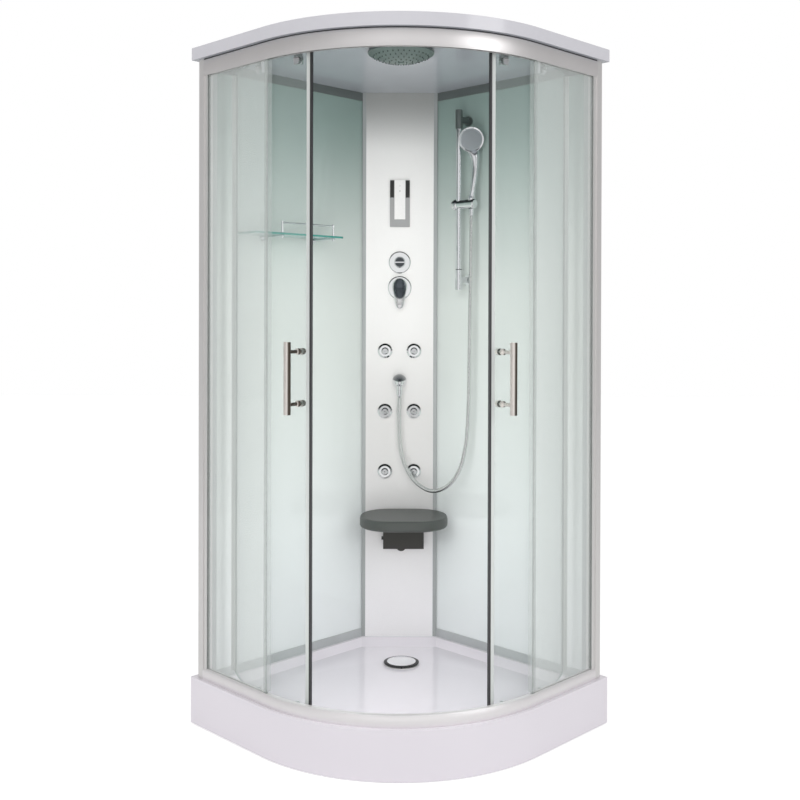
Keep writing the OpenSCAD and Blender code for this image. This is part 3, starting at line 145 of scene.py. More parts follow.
def select_faces(piece, wanted):
    open_edit(piece, "FACE")
    for face in piece.data.polygons:
        face.select = bool(wanted(face.center, face.normal))
    bpy.ops.object.mode_set(mode="EDIT")


def select_edges(piece, wanted):
    open_edit(piece, "EDGE")
    points = piece.data.vertices
    for edge in piece.data.edges:
        a, b = (points[i].co for i in edge.vertices)
        edge.select = bool(wanted(a, b))
    bpy.ops.object.mode_set(mode="EDIT")


def finish_with(piece, kind, **settings):
    """Adds a modifier and applies it."""
    pick(piece)
    modifier = piece.modifiers.new(kind.lower(), kind)
    for key, value in settings.items():
        setattr(modifier, key, value)
    bpy.ops.object.modifier_apply(modifier=modifier.name)


def smooth_by_angle(piece, degrees=35):
    pick(piece)
    bpy.ops.object.shade_smooth_by_angle(angle=math.radians(degrees))
    return piece


def soften(piece, width, segments=3, sharper_than=50):
    """Rounds the edges that are sharper than so many degrees."""
    finish_with(piece, "BEVEL", width=width, segments=segments, limit_method="ANGLE",
                angle_limit=math.radians(sharper_than))
    return smooth_by_angle(piece)


def turned_rod(name, middle, axis, radius, length, corners=32, edge=0.0):
    """A round bar, with softened ends if an edge width is given."""
    clear_selection()
    bpy.ops.mesh.primitive_cylinder_add(vertices=corners, radius=radius, depth=length, location=middle,
                                        rotation=angles_to(axis))
    rod = settle(bpy.context.object, name)
    return soften(rod, width=edge) if edge else smooth_by_angle(rod)


def plain_block(name, low, high):
    """A block between two corners."""
    clear_selection()
    bpy.ops.mesh.primitive_cube_add(size=1, location=[(a + b) / 2 for a, b in zip(low, high)])
    block = bpy.context.object
    block.scale = [b - a for a, b in zip(low, high)]
    return settle(block, name)


def soft_block(name, low, high, edge, segments=3):
    """A block between two corners with rounded edges."""
    return soften(plain_block(name, low, high), width=edge, segments=segments)


def drawn_out(name, sections, corners, level):
    """Draws a round face out through sections of (x, y, z, half width, half depth), and rounds it."""
    x, y, z, wide, deep = sections[0]
    clear_selection()
    bpy.ops.mesh.primitive_circle_add(vertices=corners, radius=1, fill_type="NGON", location=(x, y, z))
    piece = bpy.context.object
    piece.scale = (wide, deep, 1)
    settle(piece, name)
    bpy.ops.object.mode_set(mode="EDIT")
    bpy.ops.mesh.select_all(action="SELECT")
    for before, after in zip(sections, sections[1:]):
        move = [after[i] - before[i] for i in range(3)]
        bpy.ops.mesh.extrude_region_move(TRANSFORM_OT_translate={"value": move})
        bpy.ops.transform.resize(value=(after[3] / before[3], after[4] / before[4], 1),
                                 center_override=after[:3])
    bpy.ops.mesh.select_all(action="SELECT")
    bpy.ops.mesh.normals_make_consistent(inside=False)
    close_edit()
    finish_with(piece, "SUBSURF", levels=level, render_levels=level)
    return smooth_by_angle(piece, degrees=50)


def gather(name, parts):
    """Joins copies into one piece."""
    clear_selection()
    for part in parts:
        part.select_set(True)
    bpy.context.view_layer.objects.active = parts[0]
    bpy.ops.object.join()
    return settle(bpy.context.object, name)


def copy_of(piece, matrix):
    twin = piece.copy()
    twin.data = piece.data.copy()
    twin.data.transform(matrix)
    scene.collection.objects.link(twin)
    return twin


def seat_piece(piece, body, material):
    piece.data.materials.clear()
    piece.data.materials.append(material)
    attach(piece, body)


# Finishes: small helpers for node trees

COLOUR = "NodeSocketColor"
FLOAT = "NodeSocketFloat"
WHITE = (1, 1, 1, 1)
GLASS_INDEX = 1.5
# Share of the mirrored light that a pane keeps, and how solid its cut edge looks
GLANCE_SHARE = 0.75
EDGE_SHARE = 0.85
# How strongly dried spots add to the haze of wiped water
SPOT_SHARE = 0.35
LINE_DEPTH = 0.0002


def tint(red, green, blue):
    """Linear colour of a colour that is read on a screen."""
    def one(value):
        value = value / 255
        return value / 12.92 if value <= 0.04045 else ((value + 0.055) / 1.055) ** 2.4
    return (one(red), one(green), one(blue), 1)


def feed(tree, node, inputs):
    """Gives inputs of a node a value each, or the output of another node."""
    for label, value in inputs.items():
        if isinstance(value, bpy.types.NodeSocket):
            tree.links.new(value, node.inputs[label])
        else:
            node.inputs[label].default_value = value


def add(tree, kind, inputs=None, **settings):
    node = tree.nodes.new(kind)
    for key, value in settings.items():
        setattr(node, key, value)
    feed(tree, node, inputs or {})
    return node


def maths(tree, operation, *values, **settings):
    node = add(tree, "ShaderNodeMath", dict(enumerate(values)), operation=operation, **settings)
    return node.outputs[0]


def vectors(tree, operation, *values):
    return add(tree, "ShaderNodeVectorMath", dict(enumerate(values)), operation=operation)


def scaled(tree, vector, factor):
    return add(tree, "ShaderNodeVectorMath", {0: vector, "Scale": factor}, operation="SCALE").outputs[0]


def spread(tree, value, source=(0.0, 1.0), target=(0.0, 1.0), smooth=False):
    """Moves a value from one range into another."""
    node = add(tree, "ShaderNodeMapRange", {
        "Value": value, "From Min": source[0], "From Max": source[1],
        "To Min": target[0], "To Max": target[1]},
        interpolation_type="SMOOTHSTEP" if smooth else "LINEAR")
    return node.outputs["Result"]


def mixed(tree, factor, first, second):
    """Colour between two; the colours are inputs 6 and 7 of the node."""
    node = add(tree, "ShaderNodeMix", {"Factor": factor, 6: first, 7: second}, data_type="RGBA")
    return node.outputs[2]


def own_place(tree):
    return add(tree, "ShaderNodeTexCoord").outputs["Object"]


def part_of(tree, vector, axis):
    return add(tree, "ShaderNodeSeparateXYZ", {0: vector}).outputs[axis]


def new_group(name, inputs, outputs):
    tree = bpy.data.node_groups.new(name, "ShaderNodeTree")
    for label, kind, value in inputs:
        socket = tree.interface.new_socket(label, in_out="INPUT", socket_type=kind)
        socket.default_value = value
    for label, kind in outputs:
        tree.interface.new_socket(label, in_out="OUTPUT", socket_type=kind)
    return tree, add(tree, "NodeGroupInput").outputs, add(tree, "NodeGroupOutput")


def cloud_group():
    """Soft cloudy change of a colour over a surface."""
    tree, given, out = new_group(
        "surface_cloud", [("Color", COLOUR, WHITE), ("Scale", FLOAT, 4.0), ("Depth", FLOAT, 0.05)],
        [("Color", COLOUR)])
    wide = add(tree, "ShaderNodeTexNoise", {
        "Vector": own_place(tree), "Scale": given["Scale"], "Detail": 5, "Roughness": 0.55})
    darker = maths(tree, "MULTIPLY", wide.outputs["Fac"], given["Depth"])
    keep = maths(tree, "SUBTRACT", 1.0, darker)
    feed(tree, out, {"Color": scaled(tree, given["Color"], keep)})
    return tree


def grain_group():
    """Fine drawn lines along one axis, as height, with a roughness that follows them."""
    tree, given, out = new_group(
        "drawn_lines",
        [("Stretch", "NodeSocketVector", (400, 400, 6)), ("Low", FLOAT, 0.25), ("High", FLOAT, 0.4)],
        [("Height", FLOAT), ("Roughness", FLOAT)])
    stretched = vectors(tree, "MULTIPLY", own_place(tree), given["Stretch"])
    lines = add(tree, "ShaderNodeTexNoise", {"Vector": stretched.outputs[0], "Scale": 1.0, "Detail": 3})
    level = spread(tree, lines.outputs["Fac"], (0.3, 0.7), (given["Low"], given["High"]))
    feed(tree, out, {"Height": lines.outputs["Fac"], "Roughness": level})
    return tree


def smudge_group():
    """Dried water marks and wiped haze: a roughness that rises in streaks and spots."""
    tree, given, out = new_group(
        "water_marks", [("Clean", FLOAT, 0.03), ("Marked", FLOAT, 0.15), ("Scale", FLOAT, 20.0)],
        [("Roughness", FLOAT)])
    place = own_place(tree)
    streaked = vectors(tree, "MULTIPLY", place, (1, 1, 0.22))
    haze = add(tree, "ShaderNodeTexNoise", {
        "Vector": streaked.outputs[0], "Scale": given["Scale"], "Detail": 6})
    spots = add(tree, "ShaderNodeTexVoronoi", {"Vector": place, "Scale": 170})
    near = spread(tree, spots.outputs["Distance"], (0.05, 0.22), (1.0, 0.0))
    level = spread(tree, haze.outputs["Fac"], (0.45, 0.75))
    both = maths(tree, "MULTIPLY_ADD", near, SPOT_SHARE, level)
    feed(tree, out, {"Roughness": spread(tree, both, target=(given["Clean"], given["Marked"]))})
    return tree


def height_shade_group():
    """Painted shade: three tones up the height of the cabin, from the tray floor."""
    tray_floor = 0.12
    tree, given, out = new_group(
        "shade_up_the_wall",
        [("Low", COLOUR, WHITE), ("Middle", COLOUR, WHITE), ("High", COLOUR, WHITE),
         ("Turn", FLOAT, 1.3), ("Top", FLOAT, 2.0)],
        [("Color", COLOUR)])
    height = part_of(tree, own_place(tree), "Z")
    under = spread(tree, height, (tray_floor, given["Turn"]), smooth=True)
    over = spread(tree, height, (given["Turn"], given["Top"]), smooth=True)
    lower = mixed(tree, under, given["Low"], given["Middle"])
    feed(tree, out, {"Color": mixed(tree, over, lower, given["High"])})
    return tree


def sky_shade_group():
    """Painted reflection: darker colour where a polished face looks up, as if it mirrored a dark
    ceiling.
    """
    tree, given, out = new_group(
        "sky_shade",
        [("Bright", COLOUR, (0.85, 0.86, 0.87, 1)), ("Dark", COLOUR, (0.1, 0.1, 0.1, 1)),
         ("Start", FLOAT, 0.0)],
        [("Color", COLOUR)])
    shape = add(tree, "ShaderNodeNewGeometry")
    up = spread(tree, part_of(tree, shape.outputs["Normal"], "Z"), (given["Start"], 0.45), smooth=True)
    feed(tree, out, {"Color": mixed(tree, up, given["Bright"], given["Dark"])})
    return tree


CLOUD = cloud_group()
LINES = grain_group()
MARKS = smudge_group()
HEIGHT_SHADE = height_shade_group()
SKY = sky_shade_group()


def start_finish(name, inputs=None):
    material = bpy.data.materials.new(name)
    material.use_nodes = True
    tree = material.node_tree
    shader = tree.nodes["Principled BSDF"]
    feed(tree, shader, inputs or {})
    return material, tree, shader


def use_group(tree, group, **values):
    return add(tree, "ShaderNodeGroup", values, node_tree=group).outputs


def bump_from(tree, shader, height, strength, distance):
    bump = add(tree, "ShaderNodeBump", {"Strength": strength, "Distance": distance, "Height": height})
    feed(tree, shader, {"Normal": bump.outputs["Normal"]})


def cloud_on(tree, shader, colour, scale, depth):
    cloud = use_group(tree, CLOUD, Color=colour, Scale=scale, Depth=depth)
    feed(tree, shader, {"Base Color": cloud["Color"]})


def marks_on(tree, shader, clean, marked, scale):
    marks = use_group(tree, MARKS, Clean=clean, Marked=marked, Scale=scale)
    feed(tree, shader, {"Roughness": marks["Roughness"]})


def lines_on(tree, shader, stretch, low, high, strength):
    lines = use_group(tree, LINES, Stretch=stretch, Low=low, High=high)
    feed(tree, shader, {"Roughness": lines["Roughness"]})
    bump_from(tree, shader, lines["Height"], strength=strength, distance=LINE_DEPTH)


def polished(name, colour, clean=0.04, marked=0.14, depth=0.06):
    """Plated and polished metal with faint water marks."""
    material, tree, shader = start_finish(name, {"Metallic": 1.0})
    cloud_on(tree, shader, colour, scale=30.0, depth=depth)
    marks_on(tree, shader, clean=clean, marked=marked, scale=25.0)
    return material


def shaded_chrome(name, bright, dark, clean, marked, start):
    """Plated trim with a painted reflection of a dark ceiling on the faces that look up."""
    material, tree, shader = start_finish(name, {"Metallic": 1.0})
    shade = use_group(tree, SKY, Bright=bright, Dark=dark, Start=start)
    cloud_on(tree, shader, shade["Color"], scale=30.0, depth=0.06)
    marks_on(tree, shader, clean=clean, marked=marked, scale=25.0)
    return material


def painted_reflection_oval(name, bright, dark, centre, half):
    """Polished piece with a painted dark reflection inside an oval round a place."""
    material, tree, shader = start_finish(name, {"Metallic": 1.0})
    offset = vectors(tree, "SUBTRACT", own_place(tree), centre)
    shrunk = vectors(tree, "DIVIDE", offset.outputs[0], half)
    away = vectors(tree, "LENGTH", shrunk.outputs[0])
    edge = spread(tree, away.outputs["Value"], (0.82, 1.0), smooth=True)
    cloud_on(tree, shader, mixed(tree, edge, dark, bright), scale=60.0, depth=0.25)
    marks_on(tree, shader, clean=0.06, marked=0.16, scale=25.0)
    return material


def side_shaded_bar(name, bright, dark):
    """Brushed bar with painted shade: a darker stripe down the side that looks to the right."""
    material, tree, shader = start_finish(name, {"Metallic": 0.85})
    shape = add(tree, "ShaderNodeNewGeometry")
    turned = spread(tree, part_of(tree, shape.outputs["Normal"], "X"), (0.0, 0.4), smooth=True)
    cloud_on(tree, shader, mixed(tree, turned, bright, dark), scale=12.0, depth=0.08)
    lines_on(tree, shader, stretch=(1500, 1500, 20), low=0.22, high=0.36, strength=0.12)
    return material


def drawn_metal(name, colour, stretch, low, high, metal=1.0, strength=0.08):
    """Anodised or brushed metal with lines along its length."""
    material, tree, shader = start_finish(name, {"Metallic": metal})
    cloud_on(tree, shader, colour, scale=9.0, depth=0.05)
    lines_on(tree, shader, stretch=stretch, low=low, high=high, strength=strength)
    return material


def moulded(name, colour, rough, grain_scale, strength, coat=0.0):
    """Moulded plastic or rubber with a fine pebbled skin."""
    material, tree, shader = start_finish(name, {"Roughness": rough, "Coat Weight": coat})
    cloud_on(tree, shader, colour, scale=14.0, depth=0.06)
    pebble = add(tree, "ShaderNodeTexVoronoi", {"Vector": own_place(tree), "Scale": grain_scale},
                 feature="SMOOTH_F1")
    bump_from(tree, shader, pebble.outputs["Distance"], strength=strength, distance=0.0003)
    return material


def acrylic(name, colour, rough):
    """Vacuum-formed white sheet: deep gloss over a very slight waviness."""
    material, tree, shader = start_finish(
        name, {"IOR": 1.49, "Coat Weight": 0.35, "Coat Roughness": 0.04})
    cloud_on(tree, shader, colour, scale=2.2, depth=0.03)
    marks_on(tree, shader, clean=rough, marked=rough + 0.12, scale=7.0)
    wave = add(tree, "ShaderNodeTexNoise", {"Vector": own_place(tree), "Scale": 28, "Detail": 2})
    bump_from(tree, shader, wave.outputs["Fac"], strength=0.05, distance=0.001)
    return material


def clear_pane(name, colour, alpha, edge_colour, lies_flat=False):
    """Safety glass: see-through faces with water marks, and deep green cut edges."""
    material, tree, shader = start_finish(name, {"IOR": GLASS_INDEX})
    cloud = use_group(tree, CLOUD, Color=colour, Scale=1.5, Depth=0.08)
    marks_on(tree, shader, clean=0.01, marked=0.05, scale=6.0)
    shape = add(tree, "ShaderNodeNewGeometry")
    upright = maths(tree, "ABSOLUTE", part_of(tree, shape.outputs["Normal"], "Z"))
    edge = maths(tree, "LESS_THAN" if lies_flat else "GREATER_THAN", upright, 0.5)
    # The far face bends light like the near one, so its index is turned over
    index = spread(tree, shape.outputs["Backfacing"], target=(GLASS_INDEX, 1 / GLASS_INDEX))
    fresnel = add(tree, "ShaderNodeFresnel", {"IOR": index})
    glance = maths(tree, "MULTIPLY_ADD", fresnel.outputs[0], GLANCE_SHARE, alpha, use_clamp=True)
    rim = maths(tree, "MULTIPLY", edge, EDGE_SHARE)
    feed(tree, shader, {
        "Base Color": mixed(tree, edge, cloud["Color"], edge_colour),
        "Alpha": maths(tree, "MAXIMUM", glance, rim, use_clamp=True)})
    return material


def painted_pane(name, low, middle, high):
    """Glass wall with a pale paint behind it: a glossy clear skin over soft colour, darkened towards
    the top as painted shade.
    """
    material, tree, shader = start_finish(
        name, {"Coat Weight": 0.6, "Coat Roughness": 0.02, "IOR": GLASS_INDEX})
    shade_tones = use_group(tree, HEIGHT_SHADE, Low=low, Middle=middle, High=high, Turn=1.25, Top=2.05)
    cloud_on(tree, shader, shade_tones["Color"], scale=3.0, depth=0.04)
    marks_on(tree, shader, clean=0.05, marked=0.2, scale=5.0)
    return material


def pearl_panel(name, low, waist, middle, high):
    """Column skin: silver paint with fine flakes, with painted shade at waist height and towards the
    top.
    """
    material, tree, shader = start_finish(
        name, {"Metallic": 0.25, "Coat Weight": 0.3, "Coat Roughness": 0.12})
    lower = use_group(tree, HEIGHT_SHADE, Low=low, Middle=waist, High=middle, Turn=0.95, Top=1.6)
    shade_tones = use_group(tree, HEIGHT_SHADE, Low=lower["Color"], Middle=middle, High=high, Turn=1.8, Top=2.0)
    cloud = use_group(tree, CLOUD, Color=shade_tones["Color"], Scale=3.5, Depth=0.04)
    flake = add(tree, "ShaderNodeTexNoise", {"Vector": own_place(tree), "Scale": 900, "Detail": 1})
    spark = spread(tree, flake.outputs["Fac"], (0.3, 0.7), (0.93, 1.04))
    feed(tree, shader, {"Base Color": scaled(tree, cloud["Color"], spark)})
    lines_on(tree, shader, stretch=(500, 500, 5), low=0.28, high=0.42, strength=0.04)
    return material


def two_zone(name, origin, direction, reach, near, far, metal=(0.0, 0.0), rough=(0.4, 0.4)):
    """One finish up to a distance along a direction, and another beyond it."""
    material, tree, shader = start_finish(name)
    from_origin = vectors(tree, "SUBTRACT", own_place(tree), origin)
    along = vectors(tree, "DOT_PRODUCT", from_origin.outputs[0], direction)
    beyond = maths(tree, "GREATER_THAN", along.outputs["Value"], reach)
    cloud_on(tree, shader, mixed(tree, beyond, near, far), scale=12.0, depth=0.08)
    feed(tree, shader, {
        "Metallic": spread(tree, beyond, target=metal),
        "Roughness": spread(tree, beyond, target=rough)})
    return material


def split_at(name, height, lower, upper, **pairs):
    """One finish up to a height, and another above it."""
    return two_zone(name, origin=(0, 0, 0), direction=UP, reach=height, near=lower, far=upper, **pairs)


BRIGHT_CHROME = (0.82, 0.83, 0.85, 1)
PALE_CHROME = (0.86, 0.87, 0.88, 1)
PANE_EDGE = tint(90, 130, 120)

WHITE_SHEET = acrylic("white_acrylic", tint(237, 232, 239), rough=0.1)
CHROME = polished("chrome", BRIGHT_CHROME)
# Painted reflection: trim, jet and ring chromes are coloured dark on the faces that look up.
TRIM = shaded_chrome("trim_chrome", bright=PALE_CHROME, dark=(0.07, 0.075, 0.08, 1), clean=0.05,
                     marked=0.14, start=0.05)
NOZZLE = shaded_chrome("jet_chrome", bright=(0.74, 0.75, 0.76, 1), dark=(0.09, 0.095, 0.1, 1),
                       clean=0.1, marked=0.22, start=-0.15)
RING = shaded_chrome("ring_chrome", bright=(0.9, 0.91, 0.92, 1), dark=(0.05, 0.052, 0.055, 1),
                     clean=0.06, marked=0.16, start=-0.02)
# Painted reflection: the lever and knob chromes carry a dark oval on their faces.
LEVER = painted_reflection_oval("lever_chrome", bright=(0.9, 0.9, 0.91, 1), dark=tint(92, 98, 104),
                   centre=(0, 0.3236, 1.336), half=(0.024, 0.2, 0.039))
KNOB = painted_reflection_oval("knob_chrome", bright=(0.8, 0.81, 0.82, 1), dark=tint(84, 88, 92),
                  centre=(0, 0.3289, 1.428), half=(0.0178, 0.2, 0.0178))
# Painted reflection: the hose elbow's chrome is coloured darker on the faces that look up.
OUTLET = shaded_chrome("outlet_chrome", bright=(0.85, 0.86, 0.87, 1), dark=tint(112, 116, 120),
                       clean=0.06, marked=0.16, start=0.2)
ROSE = drawn_metal("rose_satin", tint(122, 136, 132), stretch=(300, 300, 300), low=0.32, high=0.44,
                   metal=0.5, strength=0.04)
SATIN = drawn_metal("satin_rail", tint(240, 237, 238), stretch=(60, 60, 900), low=0.3, high=0.42,
                    metal=0.5)
POST_SATIN = drawn_metal("satin_post", tint(232, 230, 229), stretch=(900, 900, 8), low=0.3, high=0.42,
                         metal=0.7)
BRUSHED = drawn_metal("brushed_bar", tint(205, 203, 200), stretch=(1500, 1500, 20), low=0.22, high=0.36,
                      strength=0.12)
# Painted shade: the handle bars are coloured dark down their right-facing side.
BAR = side_shaded_bar("handle_bar", bright=tint(246, 239, 233), dark=tint(84, 76, 69))
ZINC = drawn_metal("zinc_steel", tint(150, 153, 158), stretch=(300, 300, 60), low=0.4, high=0.6,
                   metal=0.8)
BRASS = polished("raw_brass", tint(190, 160, 95), clean=0.25, marked=0.45, depth=0.25)
DARK_SEAT = moulded("seat_plastic", tint(70, 74, 71), rough=0.42, grain_scale=900, strength=0.25,
                    coat=0.05)
DARK_BRACKET = moulded("bracket_plastic", tint(56, 55, 51), rough=0.5, grain_scale=900, strength=0.2)
BLACK_RUBBER = moulded("black_rubber", tint(48, 49, 52), rough=0.6, grain_scale=500, strength=0.15)
GREY_PLASTIC = moulded("trim_plastic", tint(168, 172, 172), rough=0.4, grain_scale=500, strength=0.08)
WHITE_PLASTIC = moulded("wheel_plastic", tint(225, 225, 220), rough=0.4, grain_scale=700, strength=0.1)
WASTE_PLASTIC = moulded("waste_plastic", tint(230, 230, 228), rough=0.4, grain_scale=400, strength=0.06)
SATIN_GREY = drawn_metal("dispenser_frame", tint(172, 172, 172), stretch=(1200, 40, 40), low=0.35,
                         high=0.5, metal=0.4)
BLACK_INLAY = moulded("black_inlay", tint(42, 42, 40), rough=0.3, grain_scale=600, strength=0.1)
FACE_GREY = moulded("spray_face", tint(150, 156, 160), rough=0.35, grain_scale=300, strength=0.05)
JET_RUBBER = moulded("jet_rubber", tint(84, 96, 92), rough=0.5, grain_scale=500, strength=0.08)
# Painted shade: the wall colour darkens from the low tone to the high tone towards the roof.
WALL = painted_pane("painted_wall", low=tint(236, 241, 241), middle=tint(214, 220, 216),
                    high=tint(147, 168, 162))
# Painted shade: the column's tones darken at waist height and towards the top.
PANEL = pearl_panel("pearl_column", low=tint(254, 253, 254), waist=tint(201, 200, 198),
                    middle=tint(249, 248, 246), high=tint(180, 181, 179))
PANE = clear_pane("door_pane", (0.6, 0.7, 0.67, 1), alpha=0.06, edge_colour=PANE_EDGE)
FIXED_PANE = clear_pane("fixed_pane", (0.93, 0.97, 0.95, 1), alpha=0.2, edge_colour=PANE_EDGE)
SEAL_STRIP = clear_pane("clear_seal", tint(206, 213, 210), alpha=0.16, edge_colour=tint(150, 158, 156))
SHELF_PANE = clear_pane("shelf_pane", (0.65, 0.88, 0.84, 1), alpha=0.28, edge_colour=tint(60, 140, 130),
                        lies_flat=True)

# Painted shade: the ceiling below the roof edge gets a darker tint than the fascia.
ROOF = split_at("roof_sheet", ROOF_EDGE_Z, lower=tint(186, 189, 196), upper=tint(214, 213, 219),
                rough=(0.06, 0.12))
# Painted shadow: the top rail's band above its edge height, under the roof, is coloured near black.
TOP_SATIN = split_at("satin_top_rail", TOP_RAIL_Z, lower=tint(230, 227, 227), upper=tint(74, 74, 76),
                     metal=(0.75, 0.2), rough=(0.36, 0.5))
# Painted shade: the wall frames' top strips, under the roof, are coloured a darker grey.
FRAME_TOP = split_at("satin_frame_top", FRAME_TOP_Z, lower=tint(200, 204, 204),
                     upper=tint(122, 128, 127), metal=(0.55, 0.4), rough=(0.36, 0.42))
# Painted shadow: the riser's top sleeve is coloured a darker, duller grey.
RISER = split_at("riser_chrome", SLEEVE_HIGH, lower=BRIGHT_CHROME, upper=tint(120, 128, 126),
                 metal=(1.0, 0.7), rough=(0.07, 0.3))
# Painted shadow: the waste cap is coloured near black below its rim height.
CAP = split_at("waste_cap", CAP_SHADOW_Z, lower=tint(40, 40, 42), upper=PALE_CHROME, metal=(0.4, 1.0),
               rough=(0.4, 0.07))

# Door tip in its open place, and the direction along the glass away from it
TIP = (-0.2448, -0.4119)
AWAY = (-0.9149, 0.4037)
STRIP_WIDTH = 0.006
SEALS = {}
for hand, sign in (("left", 1), ("right", -1)):
    SEALS[hand] = two_zone(
        hand + "_door_strip", origin=(sign * TIP[0], TIP[1], 0),
        direction=(sign * AWAY[0], AWAY[1], 0), reach=STRIP_WIDTH, near=tint(52, 52, 54),
        far=tint(208, 212, 210), rough=(0.5, 0.35))

FINISHES = {
    "tray": WHITE_SHEET, "roof": ROOF, "tray_frame": ZINC, "levelling_feet": ZINC,
    "drain_body": WASTE_PLASTIC, "drain_cap": CAP, "wall_frames": FRAME_TOP, "wall_glass": WALL,
    "column_panel": PANEL, "column_trims": GREY_PLASTIC, "rose": ROSE, "rose_feed": BRASS,
    "top_rail": TOP_SATIN, "bottom_rail": SATIN, "posts": POST_SATIN, "fixed_glass": FIXED_PANE,
    "glass_seals": SEAL_STRIP, "door_stops": BLACK_RUBBER, "valve_body": BRASS, "water_pipes": BRASS,
    "valve_plates": TRIM, "mixer_stem": TRIM, "diverter_knob": KNOB, "jet_rings": RING,
    "hose_elbow": OUTLET, "soap_tank": SATIN_GREY, "soap_lever": PANEL, "seat_bracket": DARK_BRACKET,
    "seat_pin": BRUSHED, "shelf_glass": SHELF_PANE, "shelf_rail": CHROME, "riser_rail": RISER,
    "slider": TRIM, "cradle": TRIM, "mixer_lever": LEVER, "handset": CHROME, "seat": DARK_SEAT,
    "shower_hose": CHROME,
}
for number in range(1, 7):
    FINISHES[f"jet_nozzle_{number}"] = NOZZLE
for hand in ("left", "right"):
    FINISHES[hand + "_door_glass"] = PANE
    FINISHES[hand + "_door_seals"] = SEALS[hand]
    FINISHES[hand + "_handle"] = BAR
    FINISHES[hand + "_carriages"] = CHROME
    for level in ("upper", "lower"):
        for end in ("lead", "trail"):
            FINISHES[f"{hand}_{level}_{end}_wheel"] = WHITE_PLASTIC
for name, node in nodes.items():
    node.data.materials.clear()
    node.data.materials.append(FINISHES[name])


# Hose: ribbed metal tube along the route of the solid

RAIL_ALONG_WALL = 0.355
RAIL_OFF_WALL = 0.075
GRIP_OFF_RAIL = 0.056
SLIDER_Z = 1.616
NUT_REACH = 0.016 + 0.022
ELBOW_D = 0.2184
NUT_Z = 0.965
RISER_X = (RAIL_ALONG_WALL - RAIL_OFF_WALL) * TILT
RISER_D = (RAIL_ALONG_WALL + RAIL_OFF_WALL) * TILT
GRIP_X = RISER_X + GRIP_OFF_RAIL * TILT
GRIP_D = RISER_D + GRIP_OFF_RAIL * TILT
HOSE_TOP = SLIDER_Z - NUT_REACH
# Places on the hose: across, distance from the back corner, and height
ROUTE = [
    (0, ELBOW_D, NUT_Z - 0.0001), (0, ELBOW_D, NUT_Z - 0.015), (-0.001, ELBOW_D + 0.001, 0.900),
    (0, 0.220, 0.845), (0.003, 0.222, 0.795), (0.012, 0.225, 0.750), (0.033, 0.233, 0.700),
    (0.066, 0.247, 0.664), (0.107, 0.267, 0.646), (0.149, 0.293, 0.658), (0.181, 0.317, 0.690),
    (0.205, 0.335, 0.738), (0.219, 0.344, 0.800), (0.226, 0.346, 0.860), (0.230, 0.346, 0.960),
    (0.232, 0.346, 1.080), (0.233, 0.345, 1.200), (0.235, 0.345, 1.340), (0.237, 0.344, 1.480),
    (GRIP_X, GRIP_D, HOSE_TOP - 0.015), (GRIP_X, GRIP_D, HOSE_TOP - 0.0001),
]
STEPS_BETWEEN = 24
CUT_Z = 1.40
HOSE_R = 0.007
HOSE_CORNERS = 12
RIB = 0.0042
PLAIN_END = 0.006
# Share of a rib, and how far the skin lies inside the full radius there
RIB_FORM = ((0.02, 0.0009), (0.2, 0.0001), (0.5, 0.0), (0.8, 0.0001))
HOSE_METAL = polished("hose_metal", (0.78, 0.79, 0.78, 1), clean=0.16, marked=0.3, depth=0.12)


def hose_line():
    """Smooth line through the places of the route."""
    points = [Vector((x, forward(d), z)) for x, d, z in ROUTE]
    line = []
    for i in range(len(points) - 1):
        a, b = points[max(0, i - 1)], points[i]
        c, d = points[i + 1], points[min(len(points) - 1, i + 2)]
        for k in range(STEPS_BETWEEN):
            t = k / STEPS_BETWEEN
            line.append(0.5 * (2 * b + (c - a) * t + (2 * a - 5 * b + 4 * c - d) * t * t
                               + (3 * b - a - 3 * c + d) * t ** 3))
    line.append(points[-1])
    return line


def ring_round(body, centre, way, radius):
    """Corners of one ring of a tube that runs that way."""
    side = way.cross(Vector((0.35, 1, 0))).normalized()
    up = side.cross(way)
    angles = [math.tau * k / HOSE_CORNERS for k in range(HOSE_CORNERS)]
    return [body.verts.new(centre + radius * (math.cos(a) * side + math.sin(a) * up)) for a in angles]


def tube_through(rings, body):
    for a, b in zip(rings, rings[1:]):
        for k in range(HOSE_CORNERS):
            after = (k + 1) % HOSE_CORNERS
            body.faces.new((a[k], a[after], b[after], b[k]))
    body.faces.new(list(reversed(rings[0])))
    body.faces.new(rings[-1])
    bmesh.ops.recalc_face_normals(body, faces=body.faces)


def hose_part(name, line, first_plain, last_plain):
    """A tube along the line with a groove at every rib, and its length."""
    lengths = [0.0]
    for a, b in zip(line, line[1:]):
        lengths.append(lengths[-1] + (b - a).length)
    total = lengths[-1]

    def at(run):
        run = min(max(run, 0), total)
        low = 0
        while low < len(lengths) - 2 and lengths[low + 1] < run:
            low += 1
        share = (run - lengths[low]) / max(1e-9, lengths[low + 1] - lengths[low])
        return line[low].lerp(line[low + 1], share)

    ribbed = total - first_plain - last_plain
    count = int(ribbed / RIB)
    pitch = ribbed / count
    runs = [(0.0, HOSE_R)]
    for i in range(count):
        start = first_plain + i * pitch
        runs += [(start + share * pitch, HOSE_R - depth) for share, depth in RIB_FORM]
    runs.append((total, HOSE_R))
    look = 0.0015
    body = bmesh.new()
    rings = []
    for run, radius in runs:
        way = (at(run + look) - at(run - look)).normalized()
        rings.append(ring_round(body, at(run), way, radius))
    tube_through(rings, body)
    mesh = bpy.data.meshes.new(name)
    body.to_mesh(mesh)
    body.free()
    piece = bpy.data.objects.new(name, mesh)
    scene.collection.objects.link(piece)
    for face in mesh.polygons:
        face.use_smooth = True
    mesh.materials.append(HOSE_METAL)
    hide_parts("shower_hose")
    return piece, total


